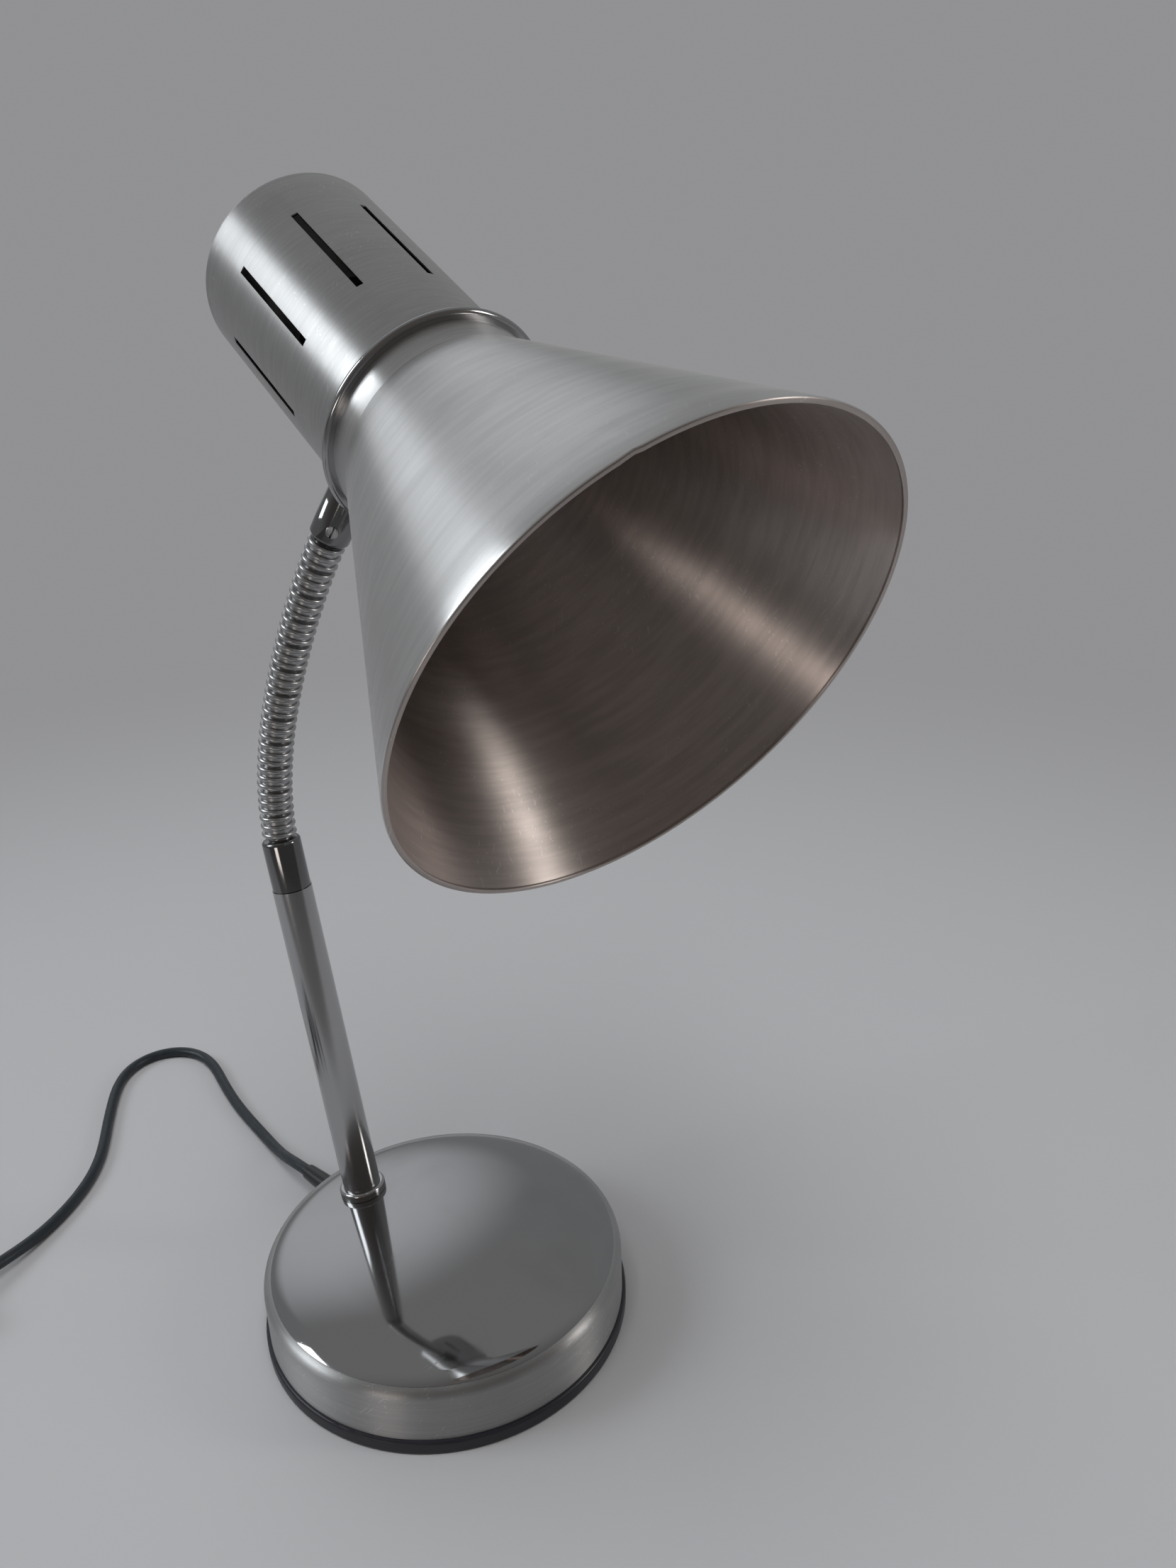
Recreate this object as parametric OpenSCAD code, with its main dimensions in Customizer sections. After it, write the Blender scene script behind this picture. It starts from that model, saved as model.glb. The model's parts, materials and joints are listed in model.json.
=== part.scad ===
// Gooseneck desk lamp. A weighted round base carries a leaning pole, a flexible
// neck of ribbed links and a spun shade on a slotted canister.
// Origin: middle of the base's underside. +Z is up, and the cord leaves at +Y.

/* [Base] */
// Diameter of the black pan that the lamp stands on
pan_d = 150; // [140:1:180]
// Height of the pan's rim
pan_h = 6; // [5:0.5:8]
// Thickness of the pan's floor
pan_floor = 2.5; // [2:0.1:3.5]
// How far the pan's rim stands out from the side wall
pan_lip = 1.5; // [0.5:0.1:3]
// Height of the crease between the side wall and the cover
crease_h = 28.5; // [27:0.1:36]
// Sheet thickness of the side wall
skirt_t = 1.2; // [0.8:0.1:1.6]
// Radius of the side wall's rounded top edge
skirt_round = 4; // [3:0.2:6]
// Sheet thickness of the cover
cover_t = 1; // [0.6:0.1:1.4]
// Radius of the cover's slight dome
dome_r = 325; // [280:5:400]
// Radius of the cover's shoulder, where the dome turns down
shoulder_r = 168; // [140:1:200]
// Width of the shoulder and its edge, from the dome to the crease
shoulder_w = 23.3; // [21:0.1:25]
// Radius of the shoulder's edge
edge_r = 20; // [16:1:26]
// Width of the shoulder's edge
edge_w = 5.3; // [4:0.1:6]
// Depth of the flange that centres the cover in the side wall
flange_h = 5; // [3:0.5:8]
// Gap between the cast weight and the pan's inner rim
weight_gap = 7; // [7:0.5:12]
// Height of the cast weight
weight_h = 17.5; // [16:0.5:20]
// Distance of the pan's screws from the middle
pan_screw_r = 50; // [40:1:55]

/* [Pole] */
// Distance of the pole's foot from the middle of the base
foot_r = 47; // [40:1:50]
// Distance from the pole's foot to the first bend of the neck
pole_len = 165; // [120:1:220]
// Diameter of the pole
pole_d = 15.7; // [14:0.1:18]
// Wall thickness of the pole
pole_t = 1; // [0.8:0.1:1.5]
// Width of the collar round the pole's foot
collar_w = 1.9; // [1.5:0.1:4]
// Height of the collar
collar_h = 3.5; // [2.5:0.5:6]
// Diameter of the hollow threaded nipples
nipple_d = 9.9; // [9.4:0.1:10.4]
// Diameter of the wire way through nipples and ferrules
wire_way_d = 5.6; // [4.8:0.1:6]
// How far the ferrule on top of the pole stands in from the pole's surface
ferrule_step = 0.25; // [0:0.05:0.6]
// Length of the ferrule on top of the pole
pole_ferrule_len = 21; // [16:0.5:30]

/* [Gooseneck] */
// Number of links
links = 12; // [6:2:14]
// Distance from one bend to the next
link_len = 10.4; // [9.6:0.1:12]
// Diameter over the ribs
neck_d = 13.5; // [13.2:0.1:14.4]
// Radius of one rib's round section
rib_r = 1.05; // [0.9:0.05:1.1]
// Ribs on each link
ribs = 3; // [2:1:3]
// Radius of the ball on the lower end of each link
ball_r = 4.6; // [4.4:0.05:4.7]
// Running clearance between a ball and its seat
ball_gap = 0.1; // [0.05:0.01:0.1]
// Turn of the neck's bending plane about the pole
neck_turn = -77.7; // [-120:0.1:0]
// Bend at the foot of the neck, in degrees a joint
bend_low = 6.3; // [0:0.1:7]
// Bend half way up the neck, in degrees a joint
bend_mid = 2.3; // [0:0.1:6]
// Bend at the top of the neck, in degrees a joint
bend_top = 2.6; // [0:0.1:6]

/* [Head] */
// Distance from the last bend to the canister's axis
drop = 61.5; // [58:0.5:70]
// Turn of the head about the upper ferrule
head_turn = -24; // [-60:1:30]
// Distance from the upper ferrule to the shade's mouth
reach = 148.3; // [144:0.1:152]
// Diameter of the shade's mouth
mouth_d = 165; // [140:1:190]
// Depth of the shade's cone
cone_len = 110.2; // [90:0.2:120]
// How far the cone's narrow end stands out from the shade's neck
cone_step = 1.3; // [0.8:0.1:3]
// Sheet thickness of the shade
shade_t = 1; // [0.8:0.1:1.1]
// Width of the turned edge round the mouth
hem_w = 1.6; // [1.4:0.1:3]
// Diameter of the canister
can_d = 70; // [66:0.5:70]
// Sheet thickness of the canister
can_t = 0.8; // [0.6:0.1:1]
// Distance from the mouth to the canister's closed end
can_end = 222; // [216:1:230]
// Length of the canister's end inside the shade's neck
overlap_len = 9; // [6:0.5:10]
// Clearance between the canister and the parts round it
can_gap = 0.2; // [0.1:0.05:0.3]
// Length of the shade's neck
neck_len = 10.4; // [9:0.1:12]
// How far the trim ring stands out from the canister
ring_out = 4.15; // [3:0.05:7]
// Width of the trim ring along the canister
ring_w = 3; // [2:0.1:5]
// Number of vent slots
slots = 9; // [6:1:12]
// Width of a vent slot
slot_w = 2.4; // [1.6:0.1:4]
// Length of a vent slot
slot_len = 46; // [30:1:50]
// Distance from the mouth to the middle of the slots
slot_mid = 175; // [172:1:178]
// Angle from the upper ferrule to the first slot
slot_start = 15.5; // [14:0.5:22]
// Diameter of the upper ferrule
head_ferrule_d = 14.5; // [14:0.1:17]
// Height of the ferrule's screw above the last bend
screw_up = 6.5; // [5:0.5:12]
// Direction of the ferrule's screw about the ferrule
screw_angle = 300; // [0:5:355]

/* [Lampholder] */
// Outside diameter of the lampholder
holder_d = 39; // [37:0.5:40]
// Diameter of the lampholder's screw thread
thread_d = 26.7; // [26:0.1:27.4]
// Length of the threaded shell
thread_len = 22; // [16:1:23]
// Distance from the mouth to the bracket's plate
plate_at = 190; // [186:1:196]
// Length of the lampholder in front of the plate
holder_len = 46; // [44:1:50]
// Width of the bracket's strip
bracket_w = 14; // [12:0.5:16]
// Thickness of the bracket
bracket_t = 1.5; // [1:0.1:2]

/* [Cord] */
// Diameter of the cord
cord_d = 5.2; // [4.6:0.1:5.6]
// Diameter of the pair of wires inside the lamp
lead_d = 4; // [3:0.1:4.2]
// Gap between the pan's rim and the flange round the cord's way out
gland_lift = 0.8; // [0.4:0.1:2]
// Angle of the cord's way out, off the base's rear middle line
gland_turn = 6; // [0:1:10]
// Length of the strain relief outside the base
gland_len = 24; // [20:1:30]
// Turns in the coil's lower layer
coil_cols = 4; // [3:1:5]
// Diameter of the coil at the middle of its turns
coil_d = 59.6; // [56:0.2:62.4]
// Length of the switch on the cord
switch_len = 62; // [56:1:70]
// Width of the switch
switch_w = 26; // [24:1:30]
// Height of the switch
switch_h = 15; // [14:0.5:18]
// Tilt of the rocker either way
rocker_tilt = 7; // [4:1:8]
// Width of the plug's face
plug_w = 35.3; // [34:0.1:37]
// Thickness of the plug
plug_t = 13.7; // [13:0.1:15]
// Length of the plug's body
plug_len = 34; // [30:1:40]

/* [Quality] */
// Sides of a full circle
facets = 64; // [32:8:128]

/* [Hidden] */
$fn = facets;
eps = 0.01;
fit = 0.05;
z_axis = [0, 0, 1];

// Base outline
pan_r = pan_d / 2;
skirt_r = pan_r - pan_lip;
edge_x = skirt_r - skirt_round;
edge_z = crease_h - skirt_round;
rim_x = skirt_r - 0.8 * skirt_round;
lip_x = edge_x - 0.2;
flange_r = lip_x - 0.1;
// The dome's circle goes over into the shoulder's and that into the edge's, each touching
// the next from outside. Their ways are where they touch, and the edge ends at the crease.
shoulder_slope = asin((rim_x - shoulder_w) / dome_r);
shoulder_way = [sin(shoulder_slope), cos(shoulder_slope)];
shoulder_x = (dome_r - shoulder_r) * shoulder_way.x;
edge_slope = asin((rim_x - edge_w - shoulder_x) / shoulder_r);
edge_way = [sin(edge_slope), cos(edge_slope)];
edge_mid_x = shoulder_x + (shoulder_r - edge_r) * edge_way.x;
edge_mid = [edge_mid_x, crease_h - sqrt(edge_r * edge_r - pow(rim_x - edge_mid_x, 2))];
shoulder_mid = edge_mid - (shoulder_r - edge_r) * edge_way;
dome_mid = shoulder_mid - (dome_r - shoulder_r) * shoulder_way;
base_h = dome_mid.y + dome_r;
edge_round = 1.2;
spigot_r = skirt_r - skirt_t - 2 * fit;
spigot_t = 1.2;
spigot_h = 2;
weight_r = spigot_r - spigot_t - weight_gap;
weight_top = pan_floor + weight_h;
seat_t = 5;
pan_screw_head_r = 4;
pan_screw_shank_r = 2;
pan_screw_len = 12;
pan_screw_sunk = 0.3;
driver_slot_w = 1;
driver_slot_h = 0.9;

// Pole and what clamps it
lean = asin(foot_r / dome_r);
foot_z = dome_mid.y + dome_r * cos(lean);
pole_r = pole_d / 2;
nipple_r = nipple_d / 2;
wire_way_r = wire_way_d / 2;
plug_depth = 10;
washer_r = 10;
washer_t = 1.2;
nut_af = 14;
nut_t = 3.5;
thread_proud = 0.6;
nipple_gap = 0.15;
seat_at = (foot_z - weight_top + seat_t) / cos(lean);
nipple_low = seat_at + washer_t + nut_t + thread_proud;
pocket_r = 12;
mouth_gap = 0.9;
pole_ferrule_r = pole_r - ferrule_step;
pole_ferrule_round = 1.5;
pole_ferrule_top = pole_len - mouth_gap;
pole_top = pole_ferrule_top - pole_ferrule_len;
socket_len = 12;

// Gooseneck
rib_pitch = link_len / ribs;
rib_mid_r = neck_d / 2 - rib_r;
core_r = rib_mid_r - 0.2;
core_gap = rib_pitch / 2 - rib_r;
ball_cut = 2.2;
ball_sunk = 0.3;
seat_r = ball_r + ball_gap;
seat_depth = 3.3;

// Head, measured from the mouth along the canister's axis
mouth_r = mouth_d / 2;
can_r = can_d / 2;
shade_neck_r = can_r + can_gap + shade_t;
cone_top_r = shade_neck_r + cone_step;
turn_len = 1.6;
ring_at = cone_len + neck_len;
ring_r = can_r + ring_out;
can_start = ring_at - overlap_len;
can_round = 3;
hem_depth = 0.9;
hem_round = 0.3;
strip_out = sqrt(pow(can_r - can_t, 2) - pow(bracket_w / 2, 2)) - fit;
strip_in = strip_out - bracket_t;
strip_tail = 9;
stub_in = strip_in - nut_t - thread_proud;
holder_r = holder_d / 2;
holder_t = 2;
cap_len = 18;
cap_rim = 8;
cap_neck = 4;
holder_split = plate_at - cap_len;
holder_mouth = plate_at - holder_len;
thread_r = thread_d / 2;
shell_t = 0.6;
disc_t = 7;
disc_sunk = 2;
disc_hole_r = 1.6;
disc_hole_x = 7;
contact_r = 3;
contact_h = 3;
disc_at = holder_split - disc_sunk;
thread_end = disc_at - contact_h;
lead_r = lead_d / 2;
lead_x = holder_r + lead_r + 0.5;
lead_turn = stub_in - lead_x;
lead_rise = 8;
set_screw_r = 2.2;
set_screw_slot_w = 0.7;
set_screw_slot_h = 0.8;
set_screw_proud = 0.3;

// Cord: its way out of the base, the switch, the coil and the plug
cord_r = cord_d / 2;
cord_way_r = cord_r + fit;
relief_r = cord_r + 2.2;
flange_extra = 1.4;
flange_t = 2.4;
gland_h = pan_h + gland_lift + relief_r + flange_extra;
gland_out = [sin(gland_turn), cos(gland_turn), 0];
gland_hole_r = 4.2;
gland_inside = 3;
gland_end = (skirt_r + gland_len) * gland_out + gland_h * z_axis;
cord_start = (weight_r + 1) * gland_out + gland_h * z_axis;
stop_len = 4.8;
stop_r = cord_r + 2.4;
straight = 6;
plugged = 8;
switch_mid = [-157, 163, 0];
switch_heading = 190;
switch_split = switch_h / 2;
switch_round = 8;
switch_edge = 2;
relief_len = 8;
half_switch = switch_len / 2 + relief_len;
switch_way = [cos(switch_heading), sin(switch_heading), 0];
switch_in = switch_mid - half_switch * switch_way + switch_split * z_axis;
switch_out = switch_mid + half_switch * switch_way + switch_split * z_axis;
rocker_l = 19;
rocker_w = 11.6;
rocker_rise = 4.2;
rocker_pin_r = 1.3;
rocker_pin_len = 1.5;
rocker_pin_gap = 0.08;
rocker_room = 0.95;
pivot_z = switch_h - 4.6;
well_floor = 2;
well_l = rocker_l + 4;
well_w = rocker_w + 0.8;
contact_x = 7;
coil_mid = [-222, 113, 0];
coil_pitch = cord_d + 0.1;
coil_in_r = coil_d / 2 - coil_cols / 2 * coil_pitch;
coil_out_r = coil_d / 2 + coil_cols / 2 * coil_pitch;
coil_h = 1.88 * cord_d;
tie_w = 8;
tie_t = 0.8;
tie_angle = 60;
plug_mid = [-233, 33, 0];
plug_heading = -70;
plug_way = [cos(plug_heading), sin(plug_heading), 0];
plug_relief = 20;
plug_back = plug_mid - (plug_len / 2 + plug_relief) * plug_way + plug_t / 2 * z_axis;
pin_d = 4;
pin_len = 19;
pin_gap = 18.6;
// Points where the cord lies, from the base to the switch, to the coil and to the plug
route_out = [
    [11.5, 108, 12.2], [14.5, 119, 8.2], [18.5, 130, 4.2], [22, 141, 2.7], [25, 152.5, 2.6],
    [28, 164.5, 2.6], [31.5, 177, 2.6], [36, 190, 2.6], [41, 202.5, 2.6], [46, 214, 2.6],
    [49.6, 223, 2.6], [50.9, 231.9, 2.6], [49.6, 242.2, 2.6], [44, 251, 2.6], [35.2, 256.6, 2.6],
    [24.9, 257.9, 2.6], [15, 254.8, 2.6], [4.5, 246.5, 2.6], [-5.5, 235.5, 2.6], [-18, 221, 2.6],
    [-33.5, 202.5, 2.6], [-49.5, 190, 2.6], [-67, 181.5, 2.6], [-85, 176, 3.2], [-99, 173, 5.6]
];
route_coil = [[-215, 153, 5], [-229, 150.4, 2.6]];
route_plug = [[-257.5, 100, 2.6], [-254, 89.5, 4]];

function link_name(i) = str("gooseneck_link_", i < 10 ? "0" : "", i);

// Bend at joint i of the neck: a smooth change from low through mid to top.
function bend(i) =
    let (x = i / links)
    bend_low * (1 - x) * (1 - 2 * x) + bend_mid * 4 * x * (1 - x) + bend_top * x * (2 * x - 1);

// A point on the pole's axis, s above its foot
function on_pole(s) = [0, foot_r + s * sin(lean), foot_z + s * cos(lean)];

// A point x out and z along in the head's middle plane
function in_head(x, z) = [x, 0, z];

// One point of the smooth curve through four points, t from the second to the third
function curve_point(a, b, c, d, t) =
    0.5 * (2 * b + (c - a) * t + (2 * a - 5 * b + 4 * c - d) * t * t
        + (3 * b - a - 3 * c + d) * t * t * t);

// The smooth curve through all the points, with the given steps between two of them
function curve(p, steps) =
    let (n = len(p) - 1)
    concat(
        [for (i = [0 : n - 1], k = [0 : steps - 1])
            curve_point(p[max(i - 1, 0)], p[i], p[i + 1], p[min(i + 2, n)], k / steps)],
        [p[n]]);

function way(p, i) =
    let (d = p[min(i + 1, len(p) - 1)] - p[max(i - 1, 0)])
    d / norm(d);

// A round tube along the points, with its flats set by a direction that it never takes
module tube_along(p, r, sides, across) {
    n = len(p);
    rings = [for (i = [0 : n - 1])
        let (t = way(p, i), u = cross(t, across) / norm(cross(t, across)), v = cross(t, u))
        for (k = [0 : sides - 1])
            p[i] + r * (cos(360 * k / sides) * u + sin(360 * k / sides) * v)];
    walls = [for (i = [0 : n - 2], k = [0 : sides - 1])
        let (a = i * sides + k, b = i * sides + (k + 1) % sides)
        [a, a + sides, b + sides, b]];
    start = [for (k = [0 : sides - 1]) k];
    end = [for (k = [sides - 1 : -1 : 0]) (n - 1) * sides + k];
    polyhedron(points = rings, faces = concat([start], walls, [end]));
}

// A hexagonal nut with a plain bore, standing on z = 0
module nut(across_flats, height, bore_r) {
    difference() {
        cylinder(r = across_flats / sqrt(3), h = height, $fn = 6);
        translate([0, 0, -1]) cylinder(r = bore_r, h = height + 2);
    }
}

module ring_tube(outer_r, inner_r, height) {
    difference() {
        cylinder(r = outer_r, h = height);
        translate([0, 0, -1]) cylinder(r = inner_r, h = height + 2);
    }
}

// ---- places ----
module at_foot() {
    translate([0, foot_r, foot_z]) rotate([-lean, 0, 0]) children();
}

// The frame of neck joint i, with z along the link above it
module at_joint(i) {
    if (i == 0)
        at_foot() translate([0, 0, pole_len]) rotate([0, 0, neck_turn]) rotate([0, bend(0), 0])
            children();
    else
        at_joint(i - 1) translate([0, 0, link_len]) rotate([0, bend(i), 0]) children();
}

// The head's frame: origin in the mouth, z along the canister, x towards the neck
module at_head() {
    at_joint(links) translate([0, 0, drop]) rotate([0, 0, head_turn]) rotate([0, 90, 180])
        translate([0, 0, -reach]) children();
}

module at_gland() {
    rotate([0, 0, -gland_turn]) translate([0, 0, gland_h]) rotate([-90, 0, 0]) children();
}

module at_switch() {
    translate(switch_mid) rotate([0, 0, switch_heading]) children();
}

module at_plug() {
    translate([plug_mid.x, plug_mid.y, plug_t / 2]) rotate([0, 0, plug_heading]) children();
}

module at_pan_screws() {
    for (a = [30, 150, 270]) rotate([0, 0, a]) translate([pan_screw_r, 0, 0]) children();
}

// ---- base ----
// A bar's section with its outer corners rounded
module rounded_bar(x0, x1, z0, z1, r) {
    translate([x0, z0]) square([x1 - r - x0, z1 - z0]);
    translate([x0, z0 + r]) square([x1 - x0, z1 - z0 - 2 * r]);
    for (z = [z0 + r, z1 - r]) translate([x1 - r, z]) circle(r);
}

// The same from z = 0 to h, with only its top corner rounded
module capped_bar(x0, x1, h, r) {
    intersection() {
        rounded_bar(x0, x1, -h, h, r);
        translate([x0, 0]) square([x1 - x0, h]);
    }
}

// The countersunk head of a pan screw, grown by g, with its face at z = 0
module screw_head(g) {
    cylinder(r1 = pan_screw_head_r + g, r2 = pan_screw_shank_r,
        h = pan_screw_head_r + g - pan_screw_shank_r);
}

module base_pan() {
    color("#15171a") difference() {
        rotate_extrude() {
            rounded_bar(spigot_r - spigot_t, pan_r, 0, pan_h, edge_round);
            square([spigot_r, pan_floor]);
            translate([spigot_r - spigot_t, 0]) square([spigot_t, pan_h + spigot_h]);
        }
        at_pan_screws() {
            translate([0, 0, -1]) cylinder(r = pan_screw_shank_r + fit, h = pan_floor + 2);
            translate([0, 0, -eps]) screw_head(pan_screw_sunk + fit);
        }
    }
}

// The side wall's filled outline, inset by o
module skirt_region(o) {
    translate([0, pan_h - o]) square([skirt_r - o, edge_z - pan_h + o]);
    translate([0, edge_z]) square([edge_x, skirt_round - o]);
    translate([edge_x, edge_z]) circle(skirt_round - o);
}

module base_skirt() {
    color("#c3c5c6") difference() {
        rotate_extrude() difference() {
            intersection() {
                skirt_region(0);
                translate([0, pan_h]) square([skirt_r, crease_h]);
            }
            skirt_region(skirt_t);
            square([lip_x, crease_h + 1]);
        }
        at_gland() cylinder(r = gland_hole_r + fit, h = pan_d);
    }
}

// The cover's filled outline above the crease, inset by o: each circle between its two ways
module cover_region(o) {
    tall = 1.1 * dome_r;
    intersection() {
        translate([0, crease_h]) square([skirt_r, base_h]);
        union() {
            cover_sector(dome_mid, dome_r - o, [0, tall], tall * shoulder_way);
            cover_sector(shoulder_mid, shoulder_r - o, tall * shoulder_way, tall * edge_way);
            cover_sector(edge_mid, edge_r - o, tall * edge_way, [tall, 0]);
        }
    }
}

// A circle's part between two long lines from its middle
module cover_sector(middle, r, one, other) {
    translate(middle) intersection() {
        circle(r, $fn = 360);
        polygon([[0, 0], one, one + other, other]);
    }
}

module base_cover() {
    color("#aeb2b6") difference() {
        rotate_extrude() {
            difference() {
                cover_region(0);
                cover_region(cover_t);
            }
            translate([flange_r - cover_t, crease_h - flange_h]) square([cover_t, flange_h + 0.2]);
        }
        at_foot() cylinder(r = nipple_r + nipple_gap, h = 2 * base_h, center = true);
    }
}

module base_weight() {
    well = on_pole(-seat_at);
    gland_root = weight_r * gland_out;
    slot_angle = atan2(gland_root.x - well.x, gland_root.y - well.y);
    color("#3c3d3f") difference() {
        translate([0, 0, pan_floor]) cylinder(r = weight_r, h = weight_h);
        at_foot() cylinder(r = nipple_r + nipple_gap, h = 4 * base_h, center = true);
        at_foot() translate([0, 0, -seat_at - base_h]) cylinder(r = pocket_r, h = base_h);
        translate([well.x, well.y, 0]) rotate([0, 0, -slot_angle])
            translate([-lead_d, 0, -1]) cube([2 * lead_d, pan_r, weight_top + 2]);
        at_pan_screws() cylinder(r = pan_screw_shank_r + fit, h = pan_floor + pan_screw_len);
    }
}

module pan_screws() {
    color("#8e8f91") at_pan_screws() translate([0, 0, pan_screw_sunk]) difference() {
        union() {
            screw_head(0);
            cylinder(r = pan_screw_shank_r, h = pan_screw_len);
        }
        translate([-pan_screw_head_r, -driver_slot_w / 2, -1])
            cube([2 * pan_screw_head_r, driver_slot_w, 1 + driver_slot_h]);
    }
}

// ---- pole ----
module pole_nipple() {
    color("#b9a36a") at_foot() translate([0, 0, -nipple_low])
        ring_tube(nipple_r, wire_way_r, nipple_low + plug_depth - 1);
}

module nipple_washer() {
    color("#9fa1a3") at_foot() translate([0, 0, -seat_at - washer_t])
        ring_tube(washer_r, nipple_r + fit, washer_t);
}

module nipple_nut() {
    color("#a8a9ab") at_foot() translate([0, 0, -seat_at - washer_t - nut_t])
        nut(nut_af, nut_t, nipple_r + fit);
}

module pole_collar() {
    color("#c9ccd0") at_foot() rotate_extrude()
        capped_bar(pole_r + fit, pole_r + collar_w, collar_h, edge_round);
}

module pole() {
    color("#c9ccd0") at_foot() difference() {
        cylinder(r = pole_r, h = pole_top);
        translate([0, 0, plug_depth]) cylinder(r = pole_r - pole_t, h = pole_top);
        translate([0, 0, -1]) cylinder(r = nipple_r + fit, h = plug_depth + 2);
    }
}

module pole_ferrule() {
    color("#c2c5c9") at_foot() difference() {
        union() {
            translate([0, 0, pole_top]) rotate_extrude()
                capped_bar(0, pole_ferrule_r, pole_ferrule_len, pole_ferrule_round);
            translate([0, 0, pole_top - socket_len])
                cylinder(r = pole_r - pole_t - fit, h = socket_len + 1);
        }
        translate([0, 0, pole_top - socket_len - 1]) cylinder(r = wire_way_r, h = pole_len);
        seat_cut(pole_len);
    }
}

// The round seat for the ball of the link above, with its middle at height z
module seat_cut(z) {
    translate([0, 0, z]) intersection() {
        sphere(r = seat_r);
        translate([-neck_d, -neck_d, -seat_depth]) cube(2 * neck_d);
    }
}

module pole_lead() {
    low = on_pole(-nipple_low);
    floor_z = pan_floor + lead_r + 0.9;
    inside_pole = [1.5 - nipple_low, -plug_depth, 2 * plug_depth, pole_top / 2,
        pole_top - 2 * plug_depth, pole_len - seat_depth - 1.2];
    points = concat(
        [cord_start, cord_start - 3 * gland_out, cord_start - [1.5, 9, 3.2],
            [low.x + 2, low.y + 9, floor_z], [low.x + 0.4, low.y + 3, floor_z + 0.8]],
        [for (s = inside_pole) on_pole(s)]);
    color("#e8e6e0") tube_along(curve(points, 4), lead_r, 10, [1, 0, 0]);
}

// ---- gooseneck ----
// The ball on the lower end of a link, with its middle at z = 0
module ball() {
    intersection() {
        sphere(r = ball_r);
        translate([-neck_d, -neck_d, -ball_cut])
            cube([2 * neck_d, 2 * neck_d, ball_cut + mouth_gap + ball_sunk]);
    }
}

module gooseneck_link(i) {
    color("#b4b8bd") at_joint(i - 1) {
        difference() {
            union() {
                ball();
                rotate_extrude() {
                    translate([0, core_gap]) square([core_r, link_len - 2 * core_gap]);
                    for (k = [0 : ribs - 1])
                        translate([rib_mid_r, (k + 0.5) * rib_pitch]) circle(rib_r, $fn = 32);
                }
            }
            cylinder(r = wire_way_r, h = 2 * link_len, center = true);
            seat_cut(link_len);
        }
    }
}

// ---- head ----
module head_ferrule() {
    r = head_ferrule_d / 2;
    long = drop - can_r + 2;
    color("#c2c5c9") at_joint(links) difference() {
        union() {
            ball();
            difference() {
                translate([0, 0, mouth_gap]) rotate_extrude() intersection() {
                    rounded_bar(0, r, 0, 2 * long, edge_round);
                    square([r, long]);
                }
                translate([0, 0, drop]) rotate([0, 0, head_turn]) rotate([0, 90, 0])
                    cylinder(r = can_r, h = 4 * can_r, center = true);
            }
            translate([0, 0, 2 * mouth_gap])
                cylinder(r = nipple_r, h = drop - stub_in - 2 * mouth_gap);
        }
        cylinder(r = wire_way_r, h = 2 * drop, center = true);
        at_set_screw() cylinder(r = set_screw_r + fit, h = 20);
    }
}

module at_set_screw() {
    translate([0, 0, screw_up]) rotate([0, 0, screw_angle]) rotate([0, 90, 0]) children();
}

module ferrule_screw() {
    inner = wire_way_r + 0.4;
    outer = head_ferrule_d / 2 + set_screw_proud;
    color("#dcdedf") at_joint(links) at_set_screw() difference() {
        translate([0, 0, inner]) cylinder(r = set_screw_r, h = outer - inner);
        translate([-set_screw_r - 1, -set_screw_slot_w / 2, outer - set_screw_slot_h])
            cube([2 * set_screw_r + 2, set_screw_slot_w, 2]);
    }
}

module ferrule_nut() {
    color("#b9a36a") at_head() translate([strip_in - nut_t, 0, reach]) rotate([0, 90, 0])
        nut(nut_af, nut_t, nipple_r + fit);
}

module canister() {
    long = can_end - can_start;
    color("#b7b8b9") at_head() difference() {
        translate([0, 0, can_start]) rotate_extrude() difference() {
            capped_bar(0, can_r, long, can_round);
            translate([0, -1]) capped_bar(0, can_r - can_t, long - can_t + 1, can_round - can_t);
        }
        for (k = [0 : slots - 1]) rotate([0, 0, slot_start + 360 * k / slots])
            translate([can_r / 2, -slot_w / 2, slot_mid - slot_len / 2])
                cube([can_r, slot_w, slot_len]);
        translate([0, 0, reach]) rotate([0, 90, 0]) cylinder(r = nipple_r + fit, h = can_d);
    }
}

module trim_ring() {
    color("#9da1a6") at_head() rotate_extrude() difference() {
        rounded_bar(can_r + fit, ring_r, ring_at, ring_at + ring_w, ring_w / 2 - 0.1);
        translate([0, ring_at - 1]) square([can_r + fit, ring_w + 2]);
    }
}

module shade() {
    slant = norm([mouth_r - cone_top_r, cone_len - hem_depth]);
    wall = shade_t * slant / (cone_len - hem_depth);
    neck_in = shade_neck_r - shade_t;
    color("#bfc3c9") at_head() rotate_extrude() polygon([
        [mouth_r - hem_w, 0],
        [mouth_r - hem_round, 0],
        [mouth_r, hem_round],
        [mouth_r, hem_depth],
        [cone_top_r, cone_len],
        [shade_neck_r + 0.85 * cone_step, cone_len + 0.4 * turn_len],
        [shade_neck_r + 0.3 * cone_step, cone_len + 0.7 * turn_len],
        [shade_neck_r, cone_len + turn_len],
        [shade_neck_r, ring_at],
        [neck_in, ring_at],
        [neck_in, cone_len + 0.6 * turn_len],
        [cone_top_r - wall, cone_len - 0.4 * turn_len],
        [mouth_r - wall, hem_depth],
        [mouth_r - hem_w, hem_depth]
    ]);
}

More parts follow.
